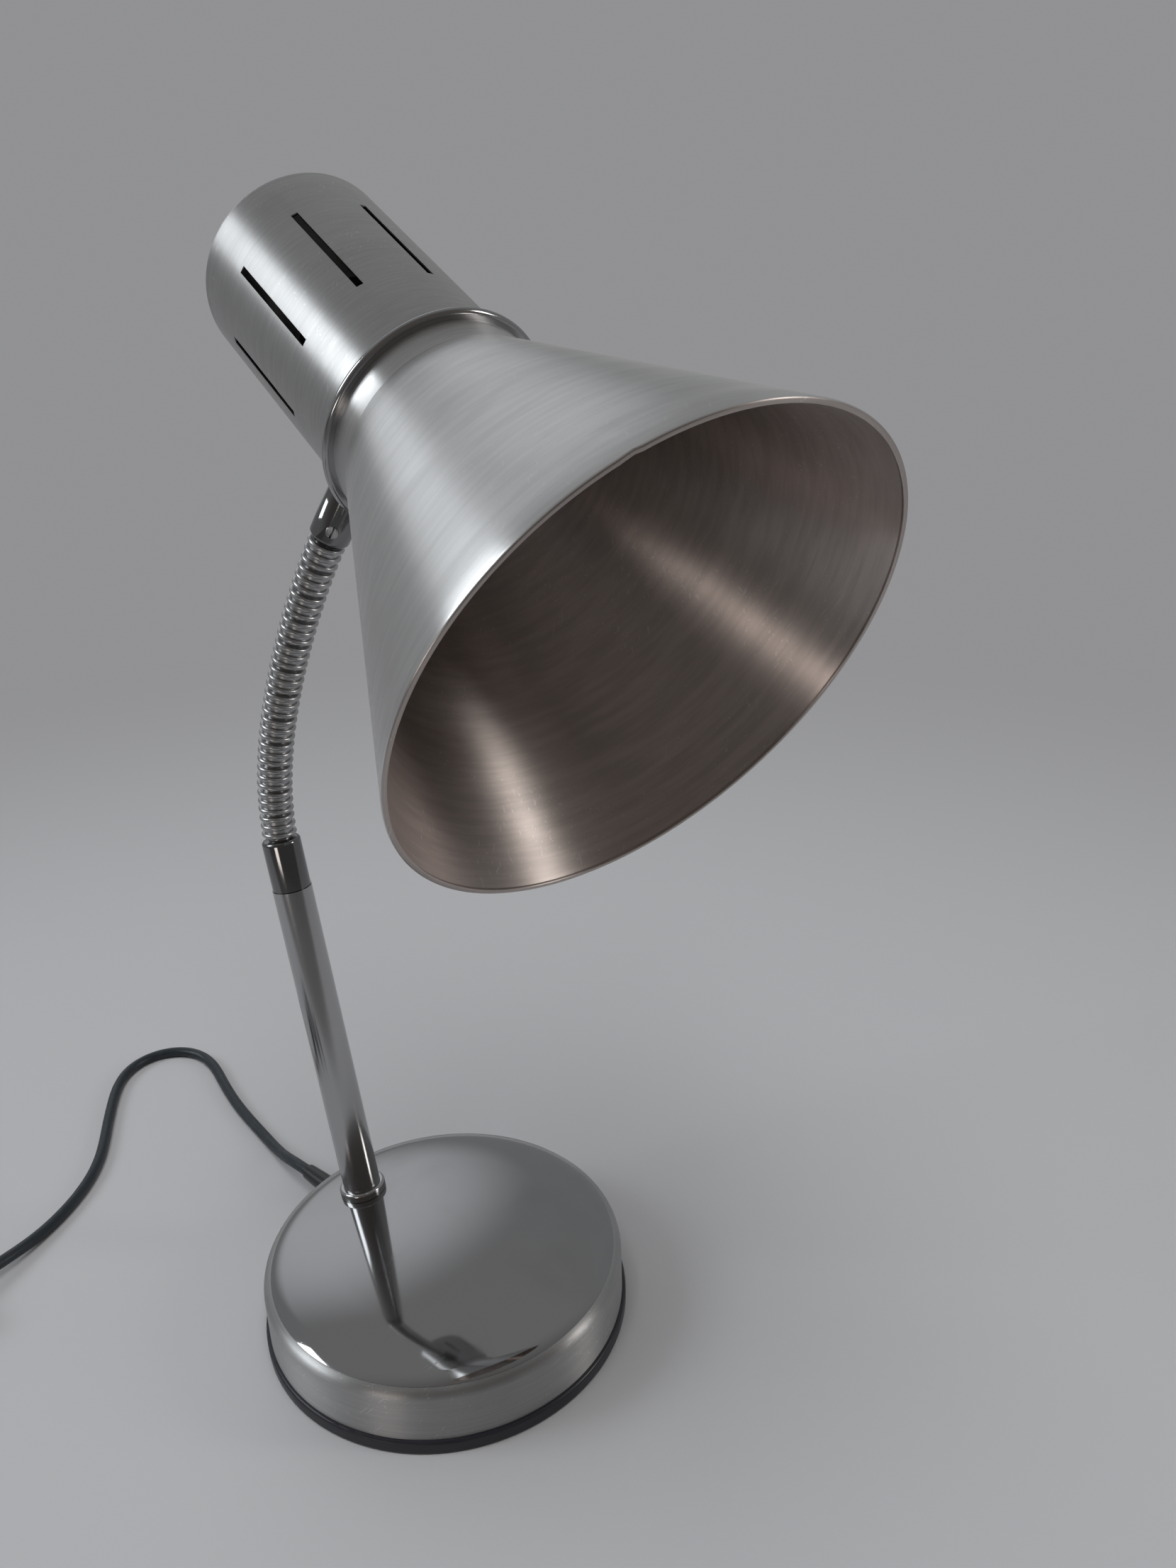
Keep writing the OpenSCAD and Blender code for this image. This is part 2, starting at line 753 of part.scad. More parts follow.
// ---- lampholder ----
module bracket() {
    tail = reach - strip_tail;
    color("#a4a6a8") at_head() difference() {
        union() {
            translate([strip_in, -bracket_w / 2, tail])
                cube([bracket_t, bracket_w, plate_at + bracket_t - tail]);
            translate([-strip_tail, -bracket_w / 2, plate_at])
                cube([strip_out + strip_tail, bracket_w, bracket_t]);
        }
        translate([0, 0, reach]) rotate([0, 90, 0]) cylinder(r = nipple_r + fit, h = can_d);
        translate([0, 0, plate_at - 1]) cylinder(r = nipple_r + fit, h = bracket_t + 2);
        translate([lead_x, 0, plate_at - 1]) cylinder(r = lead_r + 0.6, h = bracket_t + 2);
    }
}

module holder_body() {
    long = holder_split - holder_mouth;
    color("#1c1c1e") at_head() translate([0, 0, holder_mouth]) difference() {
        rotate_extrude() rounded_bar(thread_r + shell_t + fit, holder_r, 0, long, 1);
        translate([0, 0, long - disc_sunk]) cylinder(r = holder_r - holder_t, h = disc_sunk + 1);
    }
}

module holder_cap() {
    cone_at = holder_split + cap_rim;
    color("#1c1c1e") at_head() difference() {
        union() {
            translate([0, 0, holder_split]) cylinder(r = holder_r, h = cap_rim);
            translate([0, 0, cone_at])
                cylinder(r1 = holder_r, r2 = nipple_r + cap_neck, h = cap_len - cap_rim);
        }
        translate([0, 0, holder_split - 1]) cylinder(r = holder_r - holder_t, h = cap_rim + 1);
        translate([0, 0, cone_at - eps])
            cylinder(r1 = holder_r - holder_t, r2 = nipple_r + holder_t,
                h = cap_len - cap_rim - cap_neck);
        translate([0, 0, holder_split]) cylinder(r = nipple_r + fit, h = cap_len + 1);
    }
}

module holder_thread() {
    color("#c8b88a") at_head() translate([0, 0, thread_end - thread_len])
        ring_tube(thread_r + shell_t, thread_r, thread_len);
}

module holder_disc() {
    color("#eceae4") at_head() translate([0, 0, disc_at]) difference() {
        cylinder(r = holder_r - holder_t - fit, h = disc_t);
        for (x = [-disc_hole_x, disc_hole_x])
            translate([x, 0, -1]) cylinder(r = disc_hole_r, h = disc_t + 2);
    }
}

module centre_contact() {
    color("#c9a24e") at_head() translate([0, 0, thread_end])
        cylinder(r1 = contact_r / 2, r2 = contact_r, h = contact_h);
}

module holder_nipple() {
    color("#b9a36a") at_head() translate([0, 0, plate_at - cap_neck])
        ring_tube(nipple_r, wire_way_r, cap_neck + bracket_t + nut_t + thread_proud);
}

module holder_nut() {
    color("#a8a9ab") at_head() translate([0, 0, plate_at + bracket_t])
        nut(nut_af, nut_t, nipple_r + fit);
}

module head_lead() {
    top = plate_at + lead_rise;
    half = lead_x / 2;
    points = concat(
        [in_head(stub_in + 8, reach), in_head(stub_in, reach)],
        [for (a = [30, 60, 90])
            in_head(stub_in - lead_turn * sin(a), reach + lead_turn * (1 - cos(a)))],
        [for (z = [reach + 18, plate_at - 6, plate_at + 2, top]) in_head(lead_x, z)],
        [for (a = [30 : 30 : 180]) in_head(half + half * cos(a), top + half * sin(a))],
        [for (z = [plate_at + 4, plate_at - 3, disc_at + disc_t + 2]) in_head(0, z)]);
    color("#e8e6e0") at_head() tube_along(points, lead_r, 10, [0, 1, 0]);
}

// ---- cord ----
module cord_gland() {
    color("#17181a") at_gland() difference() {
        union() {
            translate([0, 0, skirt_r + fit])
                cylinder(r1 = relief_r + flange_extra, r2 = relief_r + flange_extra - 0.2, h = flange_t);
            translate([0, 0, skirt_r + 2])
                cylinder(r1 = relief_r, r2 = cord_r + 0.9, h = gland_len - 2);
            translate([0, 0, skirt_r - skirt_t - gland_inside])
                cylinder(r = gland_hole_r, h = skirt_t + gland_inside + 1);
        }
        cylinder(r = cord_way_r, h = skirt_r + gland_len + 1);
    }
}

module cord_stop() {
    color("#2a2b2d") at_gland() translate([0, 0, skirt_r - skirt_t - gland_inside - stop_len - 0.2])
        ring_tube(stop_r, cord_way_r, stop_len);
}

module cord_tube(points) {
    color("#141517") tube_along(curve(points, 2), cord_r, 8, z_axis);
}

module cord_to_switch() {
    cord_tube(concat(
        [cord_start, gland_end - straight * gland_out, gland_end],
        route_out,
        [for (s = [-straight, 0, plugged]) switch_in + s * switch_way]));
}

module cord_to_coil() {
    cord_tube(concat([for (s = [-plugged, 0, straight]) switch_out + s * switch_way], route_coil));
}

module cord_to_plug() {
    cord_tube(concat(route_plug, [for (s = [-straight, 0, plugged]) plug_back + s * plug_way]));
}

// The coil's section, inset by o: the turns of the lower layer and one fewer on top
module coil_section(o) {
    polygon([
        [coil_in_r + o, o],
        [coil_out_r - o, o],
        [coil_out_r - o, cord_d],
        [coil_out_r - coil_pitch / 2 - o, coil_h - o],
        [coil_in_r + coil_pitch / 2 + o, coil_h - o],
        [coil_in_r + o, cord_d]
    ]);
}

// The tie's band, as deep as its notch in the coil
module tie_band() {
    intersection() {
        rotate_extrude() difference() {
            coil_section(0);
            coil_section(tie_t);
        }
        rotate([0, 0, tie_angle]) translate([0, -tie_w / 2, -1])
            cube([coil_out_r + 1, tie_w, coil_h + 2]);
    }
}

module cord_coil() {
    color("#141517") translate(coil_mid) difference() {
        rotate_extrude() coil_section(0);
        tie_band();
    }
}

module coil_tie() {
    color("#e4e4e0") translate(coil_mid) tie_band();
}

module plug_body() {
    color("#141517") at_plug() difference() {
        union() {
            hull() {
                translate([plug_len / 2 - 8, 0, 0]) plug_slab(8, plug_w, plug_t);
                translate([-plug_len / 2, 0, 0]) plug_slab(3, 0.45 * plug_w, plug_t - 3);
            }
            translate([-plug_len / 2 - plug_relief, 0, 0]) rotate([0, 90, 0])
                cylinder(r1 = cord_r + 0.8, r2 = cord_r + 2.4, h = plug_relief);
        }
        translate([-plug_len / 2 - plug_relief - 1, 0, 0]) rotate([0, 90, 0])
            cylinder(r = cord_way_r, h = plugged + 1);
    }
}

// A flat slab with rounded long edges, its back at x = 0
module plug_slab(depth, w, t) {
    r = t / 3;
    for (y = [-w / 2 + r, w / 2 - r], z = [-t / 2 + r, t / 2 - r])
        translate([0, y, z]) rotate([0, 90, 0]) cylinder(r = r, h = depth, $fn = 24);
}

module plug_pins() {
    color("#cfd1d3") at_plug() for (side = [-1, 1])
        translate([plug_len / 2, side * pin_gap / 2, 0]) rotate([0, 90, 0]) {
            cylinder(d = pin_d, h = pin_len - pin_d / 2);
            translate([0, 0, pin_len - pin_d / 2]) sphere(d = pin_d, $fn = 32);
        }
}

// ---- switch on the cord ----
module switch_outline(inset) {
    x = switch_len / 2 - switch_round;
    y = switch_w / 2 - switch_round;
    for (u = [-x, x], v = [-y, y]) translate([u, v]) circle(switch_round - inset);
    square([2 * x, switch_w - 2 * inset], center = true);
    square([switch_len - 2 * inset, 2 * y], center = true);
}

module cord_ways() {
    for (x = [-1, 1]) translate([x * (half_switch + 1), 0, switch_split])
        rotate([0, -90 * x, 0]) cylinder(r = cord_way_r, h = relief_len + 9);
}

// The tapered sleeves at the switch's ends, between two heights
module switch_reliefs(z0, z1) {
    intersection() {
        for (x = [-1, 1]) translate([x * (switch_len / 2 - 2), 0, switch_split])
            rotate([0, 90 * x, 0]) cylinder(r1 = cord_r + 2.2, r2 = cord_r + 1, h = relief_len + 2);
        translate([-switch_len, -switch_w / 2, z0]) cube([2 * switch_len, switch_w, z1 - z0]);
    }
}

module switch_base() {
    color("#17181a") at_switch() difference() {
        union() {
            linear_extrude(switch_split) switch_outline(0);
            switch_reliefs(0, switch_split);
        }
        translate([-well_l / 2, -well_w / 2, well_floor]) cube([well_l, well_w, switch_h]);
        cord_ways();
    }
}

module switch_cover() {
    long = rocker_l + 2 * rocker_room;
    color("#1d1e20") at_switch() difference() {
        union() {
            translate([0, 0, switch_split])
                linear_extrude(switch_h - switch_split - switch_edge) switch_outline(0);
            translate([0, 0, switch_h - switch_edge]) linear_extrude(switch_edge) switch_outline(1);
            switch_reliefs(switch_split, switch_h);
        }
        translate([-long / 2, -well_w / 2, 0]) cube([long, well_w, 2 * switch_h]);
        translate([0, 0, pivot_z]) rotate([90, 0, 0])
            cylinder(r = rocker_pin_r + rocker_pin_gap, h = rocker_w + 2 * rocker_pin_len + 0.4,
                center = true);
        cord_ways();
    }
}

module switch_contacts() {
    color("#c9a24e") at_switch() for (x = [-contact_x, contact_x])
        translate([x - 1.5, 1.2 - well_w / 2, well_floor]) cube([3, well_w - 2.4, 2.2]);
}

module switch_rocker() {
    half = rocker_l / 2;
    tip = rocker_rise + half * tan(rocker_tilt);
    color("#2b2d31") at_switch() translate([0, 0, pivot_z]) rotate([90, rocker_tilt, 0]) {
        linear_extrude(rocker_w, center = true) polygon([
            [-half, tip], [0, rocker_rise], [half, tip], [half, -0.6],
            [3, -2.2], [-3, -2.2], [-half, -0.6]
        ]);
        cylinder(r = rocker_pin_r, h = rocker_w + 2 * rocker_pin_len, center = true);
    }
}

base_pan();
base_skirt();
base_cover();
base_weight();
pan_screws();
pole_nipple();
nipple_washer();
nipple_nut();
pole_collar();
pole();
pole_ferrule();
pole_lead();
cord_gland();
cord_stop();
cord_to_switch();
switch_base();
switch_cover();
switch_contacts();
switch_rocker();
cord_to_coil();
cord_coil();
coil_tie();
cord_to_plug();
plug_body();
plug_pins();
for (i = [1 : links]) gooseneck_link(i);
head_ferrule();
ferrule_screw();
ferrule_nut();
canister();
trim_ring();
shade();
bracket();
holder_body();
holder_cap();
holder_thread();
holder_disc();
centre_contact();
holder_nipple();
holder_nut();
head_lead();
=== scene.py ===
"""A gooseneck desk lamp: weighted base, leaning pole, ribbed neck, spun shade and slotted canister."""
import json
import math

import bmesh
import bpy
from mathutils import Matrix, Vector


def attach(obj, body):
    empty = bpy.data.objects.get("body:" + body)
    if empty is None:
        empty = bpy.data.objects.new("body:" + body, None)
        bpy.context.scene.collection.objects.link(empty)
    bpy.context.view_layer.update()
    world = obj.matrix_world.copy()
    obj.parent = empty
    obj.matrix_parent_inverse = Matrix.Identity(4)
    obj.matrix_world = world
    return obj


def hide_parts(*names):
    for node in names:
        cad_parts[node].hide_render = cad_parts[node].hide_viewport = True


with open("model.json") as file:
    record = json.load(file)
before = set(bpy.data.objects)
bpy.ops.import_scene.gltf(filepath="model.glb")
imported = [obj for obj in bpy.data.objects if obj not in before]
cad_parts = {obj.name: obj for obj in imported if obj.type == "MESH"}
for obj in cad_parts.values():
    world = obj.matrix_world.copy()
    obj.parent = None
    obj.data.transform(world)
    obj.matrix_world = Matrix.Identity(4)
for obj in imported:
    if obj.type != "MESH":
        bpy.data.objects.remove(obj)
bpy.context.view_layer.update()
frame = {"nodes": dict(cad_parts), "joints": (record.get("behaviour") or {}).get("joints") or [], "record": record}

MM = 0.001
RECORD = frame["record"]
JOINTS = {j["name"]: j for j in frame["joints"]}
BODY_OF = {node: body for body, nodes in RECORD["behaviour"]["bodies"].items() for node in nodes}
MOUNTS = {m["name"]: m for m in RECORD["mounts"]}


# ---- places -----------------------------------------------------------------------------

class Place:
    """A local frame on the lamp: an origin and three directions, with lengths in millimetres."""

    def __init__(self, origin, z, x):
        self.origin = Vector(origin)
        self.z = Vector(z).normalized()
        self.x = (Vector(x) - Vector(x).dot(self.z) * self.z).normalized()
        self.y = self.z.cross(self.x)

    def matrix(self):
        """From local millimetres to metres in the lamp's frame."""
        turn = Matrix((self.x, self.y, self.z)).transposed().to_4x4()
        return Matrix.Translation(self.origin) @ turn @ Matrix.Scale(MM, 4)


FOOT_OUT = 47
DOME_R = 325
POLE_LEN = 165
LEAN = math.asin(FOOT_OUT / DOME_R)
POLE_WAY = Vector((0, math.sin(LEAN), math.cos(LEAN)))
NECK_FOOT = Vector(JOINTS["neck_bend_1"]["pos_m"])
NECK_HINGES = sorted((j for n, j in JOINTS.items() if n.startswith("neck_")), key=lambda j: j["pos_m"][2])
NECK_POINTS = [Vector(j["pos_m"]) for j in NECK_HINGES]

ON_FLOOR = Place((0, 0, 0), (0, 0, 1), (1, 0, 0))
AT_FOOT = Place(NECK_FOOT - POLE_LEN * MM * POLE_WAY, POLE_WAY, (1, 0, 0))

THREAD_FROM_MOUTH = 156
HEAD_WAY = -Vector(MOUNTS["lamp_thread"]["axis"])
MOUTH = Vector(MOUNTS["lamp_thread"]["pos_m"]) - THREAD_FROM_MOUTH * MM * HEAD_WAY
AT_HEAD = Place(MOUTH, HEAD_WAY, NECK_POINTS[-1] - MOUTH)

LINK_PLACES = [Place(low, high - low, HEAD_WAY) for low, high in zip(NECK_POINTS, NECK_POINTS[1:])]

GLAND_TURN = math.radians(6)
GLAND_WAY = Vector((math.sin(GLAND_TURN), math.cos(GLAND_TURN), 0))
GLAND_H = 13


# ---- sizes, in millimetres --------------------------------------------------------------

# Clearance between pieces that slide together
FIT = 0.05

# The base: the pan's rim, the side wall, and the cover's dome, shoulder and edge
PAN_H = 6
WALL_R = 73.5
WALL_T = 1.2
WALL_ROUND = 4
CREASE_H = 28.5
COVER_T = 1
SHOULDER_R = 168
SHOULDER_W = 23.3
COVER_EDGE_R = 20
COVER_EDGE_W = 5.3
EDGE_R = WALL_R - WALL_ROUND
RIM_R = WALL_R - 0.8 * WALL_ROUND
LIP_R = EDGE_R - 0.2

# The pole, its collar and the ferrule on its upper end
POLE_R = 7.85
POLE_TOP = 143.1
POLE_BORE_R = 6.9
PLUG_DEPTH = 10
NIPPLE_R = 4.95
FOOT_GAP = 0.3
COLLAR_R = POLE_R + 1.9
COLLAR_H = 3.5
COLLAR_ROUND = 1.2
FERRULE_R = POLE_R - 0.25
FERRULE_END = 164.1
FERRULE_ROUND = 1.5
FERRULE_FOOT = 0.3
FERRULE_MOUTH_R = 4.62
FERRULE_SEAT_ARC = (-11, -44)
FERRULE_SEAT_DEPTH = 2.4
STUB_R = 6.8
STUB_LEN = 12

# One link of the neck: beads round a core, a ball below and its seat above
LINK_LEN = 10.4
RIBS = 3
RIB_R = 1.05
RIB_RING_R = 5.7
CORE_R = RIB_RING_R - 0.2
WIRE_R = 2.8
BALL_R = 4.6
BALL_CUT = 2.2
SEAT_R = 4.7
SEAT_DEPTH = 3.3

# The head, with heights from the shade's mouth
MOUTH_R = 82.5
HEM_W = 1.6
HEM_DEEP = 0.9
HEM_ROUND = 0.45
HEM_INNER_ROUND = 0.35
CONE_LEN = 110.2
SHADE_T = 1
CAN_R = 35
CAN_T = 0.8
CAN_START = 111.6
CAN_END = 222
CAN_ROUND = 3
NECK_R = 36.2
CONE_TOP_R = 37.5
RING_AT = 120.6
RING_R = 39.15
RING_W = 3
SLOTS = 9
SLOT_START = 15.5
SLOT_W = 2.4
SLOT_LEN = 46
SLOT_MID = 175
NIPPLE_AT = 148.3

# A nick in the shade's rim: its angle and half its width in degrees, and its depth
NICK_ANGLE = 136
NICK_WIDTH = 1.6
NICK_DEEP = 0.5


# ---- camera -----------------------------------------------------------------------------

CAMERA_AT = (-0.2694, -0.2812, 0.3869)
CAMERA_HEADING = 36.54
CAMERA_DOWN = 21.89
CAMERA_ROLL = -1.74
CAMERA_LENS = 27.03


def make_camera():
    """The camera by its place, heading, tilt and roll."""
    data = bpy.data.cameras.new("camera")
    data.sensor_width = 36
    data.lens = CAMERA_LENS
    data.clip_start = 0.01
    camera = bpy.data.objects.new("camera", data)
    turn = (Matrix.Rotation(math.radians(CAMERA_HEADING - 90), 4, "Z")
            @ Matrix.Rotation(math.radians(90 - CAMERA_DOWN), 4, "X")
            @ Matrix.Rotation(math.radians(CAMERA_ROLL), 4, "Z"))
    camera.matrix_world = Matrix.Translation(CAMERA_AT) @ turn
    bpy.context.scene.collection.objects.link(camera)
    bpy.context.scene.camera = camera


# ---- meshes -----------------------------------------------------------------------------

def add_object(name, mesh, material):
    """An object at the origin with one material."""
    mesh.materials.clear()
    mesh.materials.append(material)
    piece = bpy.data.objects.new(name, mesh)
    bpy.context.scene.collection.objects.link(piece)
    return piece


def finish_mesh(bm, name, material, place, sharp=35):
    """Merges, turns the faces outwards, shades smooth up to an angle, and puts it in its place."""
    bmesh.ops.remove_doubles(bm, verts=bm.verts, dist=0.002)
    bmesh.ops.recalc_face_normals(bm, faces=bm.faces)
    mesh = bpy.data.meshes.new(name)
    bm.to_mesh(mesh)
    bm.free()
    mesh.shade_smooth()
    mesh.set_sharp_from_angle(angle=math.radians(sharp))
    mesh.transform(place.matrix())
    return add_object(name, mesh, material)


def arc(r, z, radius, start, end, steps=8):
    """Points on a circle in the section plane, angles in degrees from outwards towards up."""
    angles = [math.radians(start + (end - start) * k / steps) for k in range(steps + 1)]
    return [(r + radius * math.cos(a), z + radius * math.sin(a)) for a in angles]


def lathe(outline, sides):
    """A closed (radius, height) outline revolved about z."""
    bm = bmesh.new()
    turns = [2 * math.pi * k / sides for k in range(sides)]
    rings = []
    for r, z in outline:
        if r < 1e-6:
            rings.append([bm.verts.new((0, 0, z))] * sides)
        else:
            rings.append([bm.verts.new((r * math.cos(a), r * math.sin(a), z)) for a in turns])
    for one, two in zip(rings, rings[1:] + rings[:1]):
        for k in range(sides):
            corners = []
            for v in (one[k], one[(k + 1) % sides], two[(k + 1) % sides], two[k]):
                if v not in corners:
                    corners.append(v)
            if len(corners) > 2:
                bm.faces.new(corners)
    bmesh.ops.recalc_face_normals(bm, faces=bm.faces)
    return bm


def turned(name, place, outline, material, sides=128, sharp=35):
    """A revolved outline as a piece in its place."""
    return finish_mesh(lathe(outline, sides), name, material, place, sharp)


def worked(bm, tree, **inputs):
    """The mesh after a Geometry Nodes tree has worked on it, as a new bmesh."""
    mesh = bpy.data.meshes.new("blank")
    bm.to_mesh(mesh)
    bm.free()
    holder = bpy.data.objects.new("blank", mesh)
    bpy.context.scene.collection.objects.link(holder)
    modifier = holder.modifiers.new("work", "NODES")
    modifier.node_group = tree
    sockets = {s.name: s.identifier for s in tree.interface.items_tree if s.in_out == "INPUT"}
    for name, value in inputs.items():
        modifier[sockets[name.replace("_", " ")]] = value
    evaluated = holder.evaluated_get(bpy.context.evaluated_depsgraph_get())
    result = bpy.data.meshes.new_from_object(evaluated)
    holder.modifiers.remove(modifier)
    bpy.data.objects.remove(holder)
    grown = bmesh.new()
    grown.from_mesh(result)
    return grown


def smoothed(node, material, sharp=30):
    """A merged and smoothly shaded copy of a CAD solid, standing for it."""
    mesh = frame["nodes"][node].data.copy()
    bm = bmesh.new()
    bm.from_mesh(mesh)
    bmesh.ops.remove_doubles(bm, verts=bm.verts, dist=0.000001)
    bm.to_mesh(mesh)
    bm.free()
    mesh.shade_smooth()
    mesh.set_sharp_from_angle(angle=math.radians(sharp))
    return seat(add_object(node + "_finished", mesh, material), node)


def tube(name, path, radius, material, sides=12):
    """A round closed tube along points in metres, with a UV map: round it, and along it in metres."""
    points = [Vector(p) for p in path]
    ways = [(points[min(i + 1, len(points) - 1)] - points[max(i - 1, 0)]).normalized()
            for i in range(len(points))]
    side = ways[0].orthogonal().normalized()
    run = [0.0]
    for a, b in zip(points, points[1:]):
        run.append(run[-1] + (b - a).length)
    bm = bmesh.new()
    uv = bm.loops.layers.uv.new("along")
    rings = []
    for p, w in zip(points, ways):
        side = (side - side.dot(w) * w).normalized()
        other = w.cross(side)
        rings.append([bm.verts.new(p + radius * (math.cos(a) * side + math.sin(a) * other))
                      for a in (2 * math.pi * k / sides for k in range(sides))])
    for i in range(len(rings) - 1):
        for k in range(sides):
            n = (k + 1) % sides
            face = bm.faces.new((rings[i][k], rings[i][n], rings[i + 1][n], rings[i + 1][k]))
            face.smooth = True
            spots = ((k, i), (k + 1, i), (k + 1, i + 1), (k, i + 1))
            for loop, (u, v) in zip(face.loops, spots):
                loop[uv].uv = (u / sides, run[v])
    bm.faces.new(list(reversed(rings[0])))
    bm.faces.new(rings[-1])
    mesh = bpy.data.meshes.new(name)
    bm.to_mesh(mesh)
    bm.free()
    return add_object(name, mesh, material)


def seat(piece, *nodes):
    """Lets a piece stand for CAD nodes: it rides on the first one's body, and the nodes are hidden."""
    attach(piece, BODY_OF[nodes[0]])
    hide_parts(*nodes)
    return piece


# ---- node graphs ------------------------------------------------------------------------

class Graph:
    """Adds nodes to one tree. A keyword sets or links the input of that name, and _ stands for a space."""

    def __init__(self, tree):
        self.tree = tree

    def add(self, kind, settings=None, **inputs):
        node = self.tree.nodes.new(kind)
        for key, value in (settings or {}).items():
            setattr(node, key, value)
        for key, value in inputs.items():
            self.put(node, key.replace("_", " "), value)
        return node

    def put(self, node, name, value):
        socket = node.inputs[int(name)] if name.isdigit() else node.inputs[name]
        if isinstance(value, bpy.types.Node):
            value = value.outputs[0]
        if isinstance(value, bpy.types.NodeSocket):
            self.tree.links.new(value, socket)
        else:
            socket.default_value = value

    def math(self, operation, a, b=0.0):
        node = self.add("ShaderNodeMath", {"operation": operation})
        self.put(node, "0", a)
        self.put(node, "1", b)
        return node.outputs[0]

    def vector(self, operation, a, b=(0, 0, 0)):
        node = self.add("ShaderNodeVectorMath", {"operation": operation})
        self.put(node, "0", a)
        self.put(node, "Scale" if operation == "SCALE" else "1", b)
        return node.outputs["Value" if operation in ("DOT_PRODUCT", "LENGTH") else "Vector"]

    def spread(self, value, low, high, to_low=0.0, to_high=1.0):
        node = self.add("ShaderNodeMapRange", {"interpolation_type": "SMOOTHSTEP"}, Value=value)
        for name, number in (("From Min", low), ("From Max", high), ("To Min", to_low), ("To Max", to_high)):
            self.put(node, name, number)
        return node.outputs[0]

    def noise(self, place, scale, detail=3.0, roughness=0.5, distortion=0.0):
        node = self.add("ShaderNodeTexNoise", None, Vector=place, Scale=scale, Detail=detail,
                        Roughness=roughness, Distortion=distortion)
        return node.outputs["Fac"]

    def blend(self, share, a, b):
        """Mixes two colours. The numbers are the colour mix's own sockets."""
        node = self.add("ShaderNodeMix", {"data_type": "RGBA"})
        for name, value in (("0", share), ("6", a), ("7", b)):
            self.put(node, name, value)
        return node.outputs[2]


def make_group(name, inputs, outputs, build):
    """A shader node group with named sockets. build(graph, inputs) returns its outputs in order."""
    tree = bpy.data.node_groups.new(name, "ShaderNodeTree")
    for label, kind, value in inputs:
        socket = tree.interface.new_socket(label, in_out="INPUT", socket_type=kind)
        if value is not None:
            socket.default_value = value
    for label, kind in outputs:
        tree.interface.new_socket(label, in_out="OUTPUT", socket_type=kind)
    graph = Graph(tree)
    source = tree.nodes.new("NodeGroupInput")
    sink = tree.nodes.new("NodeGroupOutput")
    results = build(graph, {s.name: s for s in source.outputs if s.name})
    for socket, value in zip(sink.inputs, results):
        tree.links.new(value, socket)
    return tree


FLOAT, VECTOR = "NodeSocketFloat", "NodeSocketVector"


def build_turning_lines(g, inputs):
    """Fine rings round the piece's axis, as a lathe and an abrasive pad leave them."""
    parts = g.add("ShaderNodeSeparateXYZ", None, Vector=inputs["Local"])
    angle = g.math("ARCTAN2", parts.outputs["Y"], parts.outputs["X"])
    round_about = g.add("ShaderNodeCombineXYZ", None, X=g.math("COSINE", angle), Y=g.math("SINE", angle))
    radius = g.vector("LENGTH", g.vector("MULTIPLY", inputs["Local"], (1, 1, 0)))
    level = g.math("ADD", g.math("MULTIPLY", radius, 1.7), parts.outputs["Z"])
    results = []
    for per_metre, per_turn, detail in ((1500, 2.6, 3.0), (160, 0.7, 2.0)):
        height = g.add("ShaderNodeCombineXYZ", None, Z=g.math("MULTIPLY", level, per_metre))
        spot = g.vector("ADD", g.vector("SCALE", round_about, per_turn), height)
        results.append(g.noise(spot, 1.0, detail, 0.6))
    return results


def build_smudges(g, inputs):
    """Soft patches of handling: where fingers and a cloth have dulled the surface."""
    patches = g.noise(inputs["Local"], inputs["Scale"], 4.0, 0.55, 0.4)
    return [g.spread(patches, 0.48, 0.72)]


def build_scratches(g, inputs):
    """Sparse hairline scratches in several directions."""
    marks = None
    for turn, stretch in ((0.3, 12.0), (1.5, 16.0), (2.5, 10.0)):
        spun = g.add("ShaderNodeVectorRotate", {"rotation_type": "AXIS_ANGLE"}, Vector=inputs["Local"],
                     Axis=(0.3, 0.5, 0.8), Angle=turn)
        drawn = g.vector("MULTIPLY", spun, (stretch, 1300.0, 1300.0))
        line = g.spread(g.noise(drawn, 1.0, 0.0, 0.4), 0.74, 0.80)
        where = g.spread(g.noise(spun.outputs[0], 40.0, 1.0), 0.52, 0.60)
        line = g.math("MULTIPLY", line, where)
        marks = line if marks is None else g.math("MAXIMUM", marks, line)
    return [g.math("MULTIPLY", marks, inputs["Amount"])]


def build_inside_mask(g, inputs):
    """1 on a round wall's inner face, below a height, and 0 on its outer face."""
    parts = g.add("ShaderNodeSeparateXYZ", None, Vector=inputs["Local"])
    radius = g.vector("LENGTH", g.vector("MULTIPLY", inputs["Local"], (1, 1, 0)))
    outer = g.math("ADD", inputs["Radius"], g.math("MULTIPLY", parts.outputs["Z"], inputs["Slope"]))
    depth = g.math("SUBTRACT", outer, radius)
    below = g.math("LESS_THAN", parts.outputs["Z"], inputs["Height"])
    return [g.math("MULTIPLY", below, g.math("GREATER_THAN", depth, 0.0004))]


TURNING_LINES = make_group("Turning lines", [("Local", VECTOR, None)],
                           [("Lines", FLOAT), ("Bands", FLOAT)], build_turning_lines)
SMUDGES = make_group("Smudges", [("Local", VECTOR, None), ("Scale", FLOAT, 18.0)], [("Mask", FLOAT)],
                     build_smudges)
# The mask of the inner faces that satin_metal colours with painted shade.
INSIDE_MASK = make_group("Inner face", [("Local", VECTOR, None), ("Radius", FLOAT, 0.1),
                                        ("Slope", FLOAT, 0.0), ("Height", FLOAT, 0.1)],
                         [("Mask", FLOAT)], build_inside_mask)
SCRATCHES = make_group("Hairline scratches", [("Local", VECTOR, None), ("Amount", FLOAT, 1.0)],
                       [("Mask", FLOAT)], build_scratches)


def grey(tone, blue=1.0):
    return (tone, tone, tone * blue, 1)


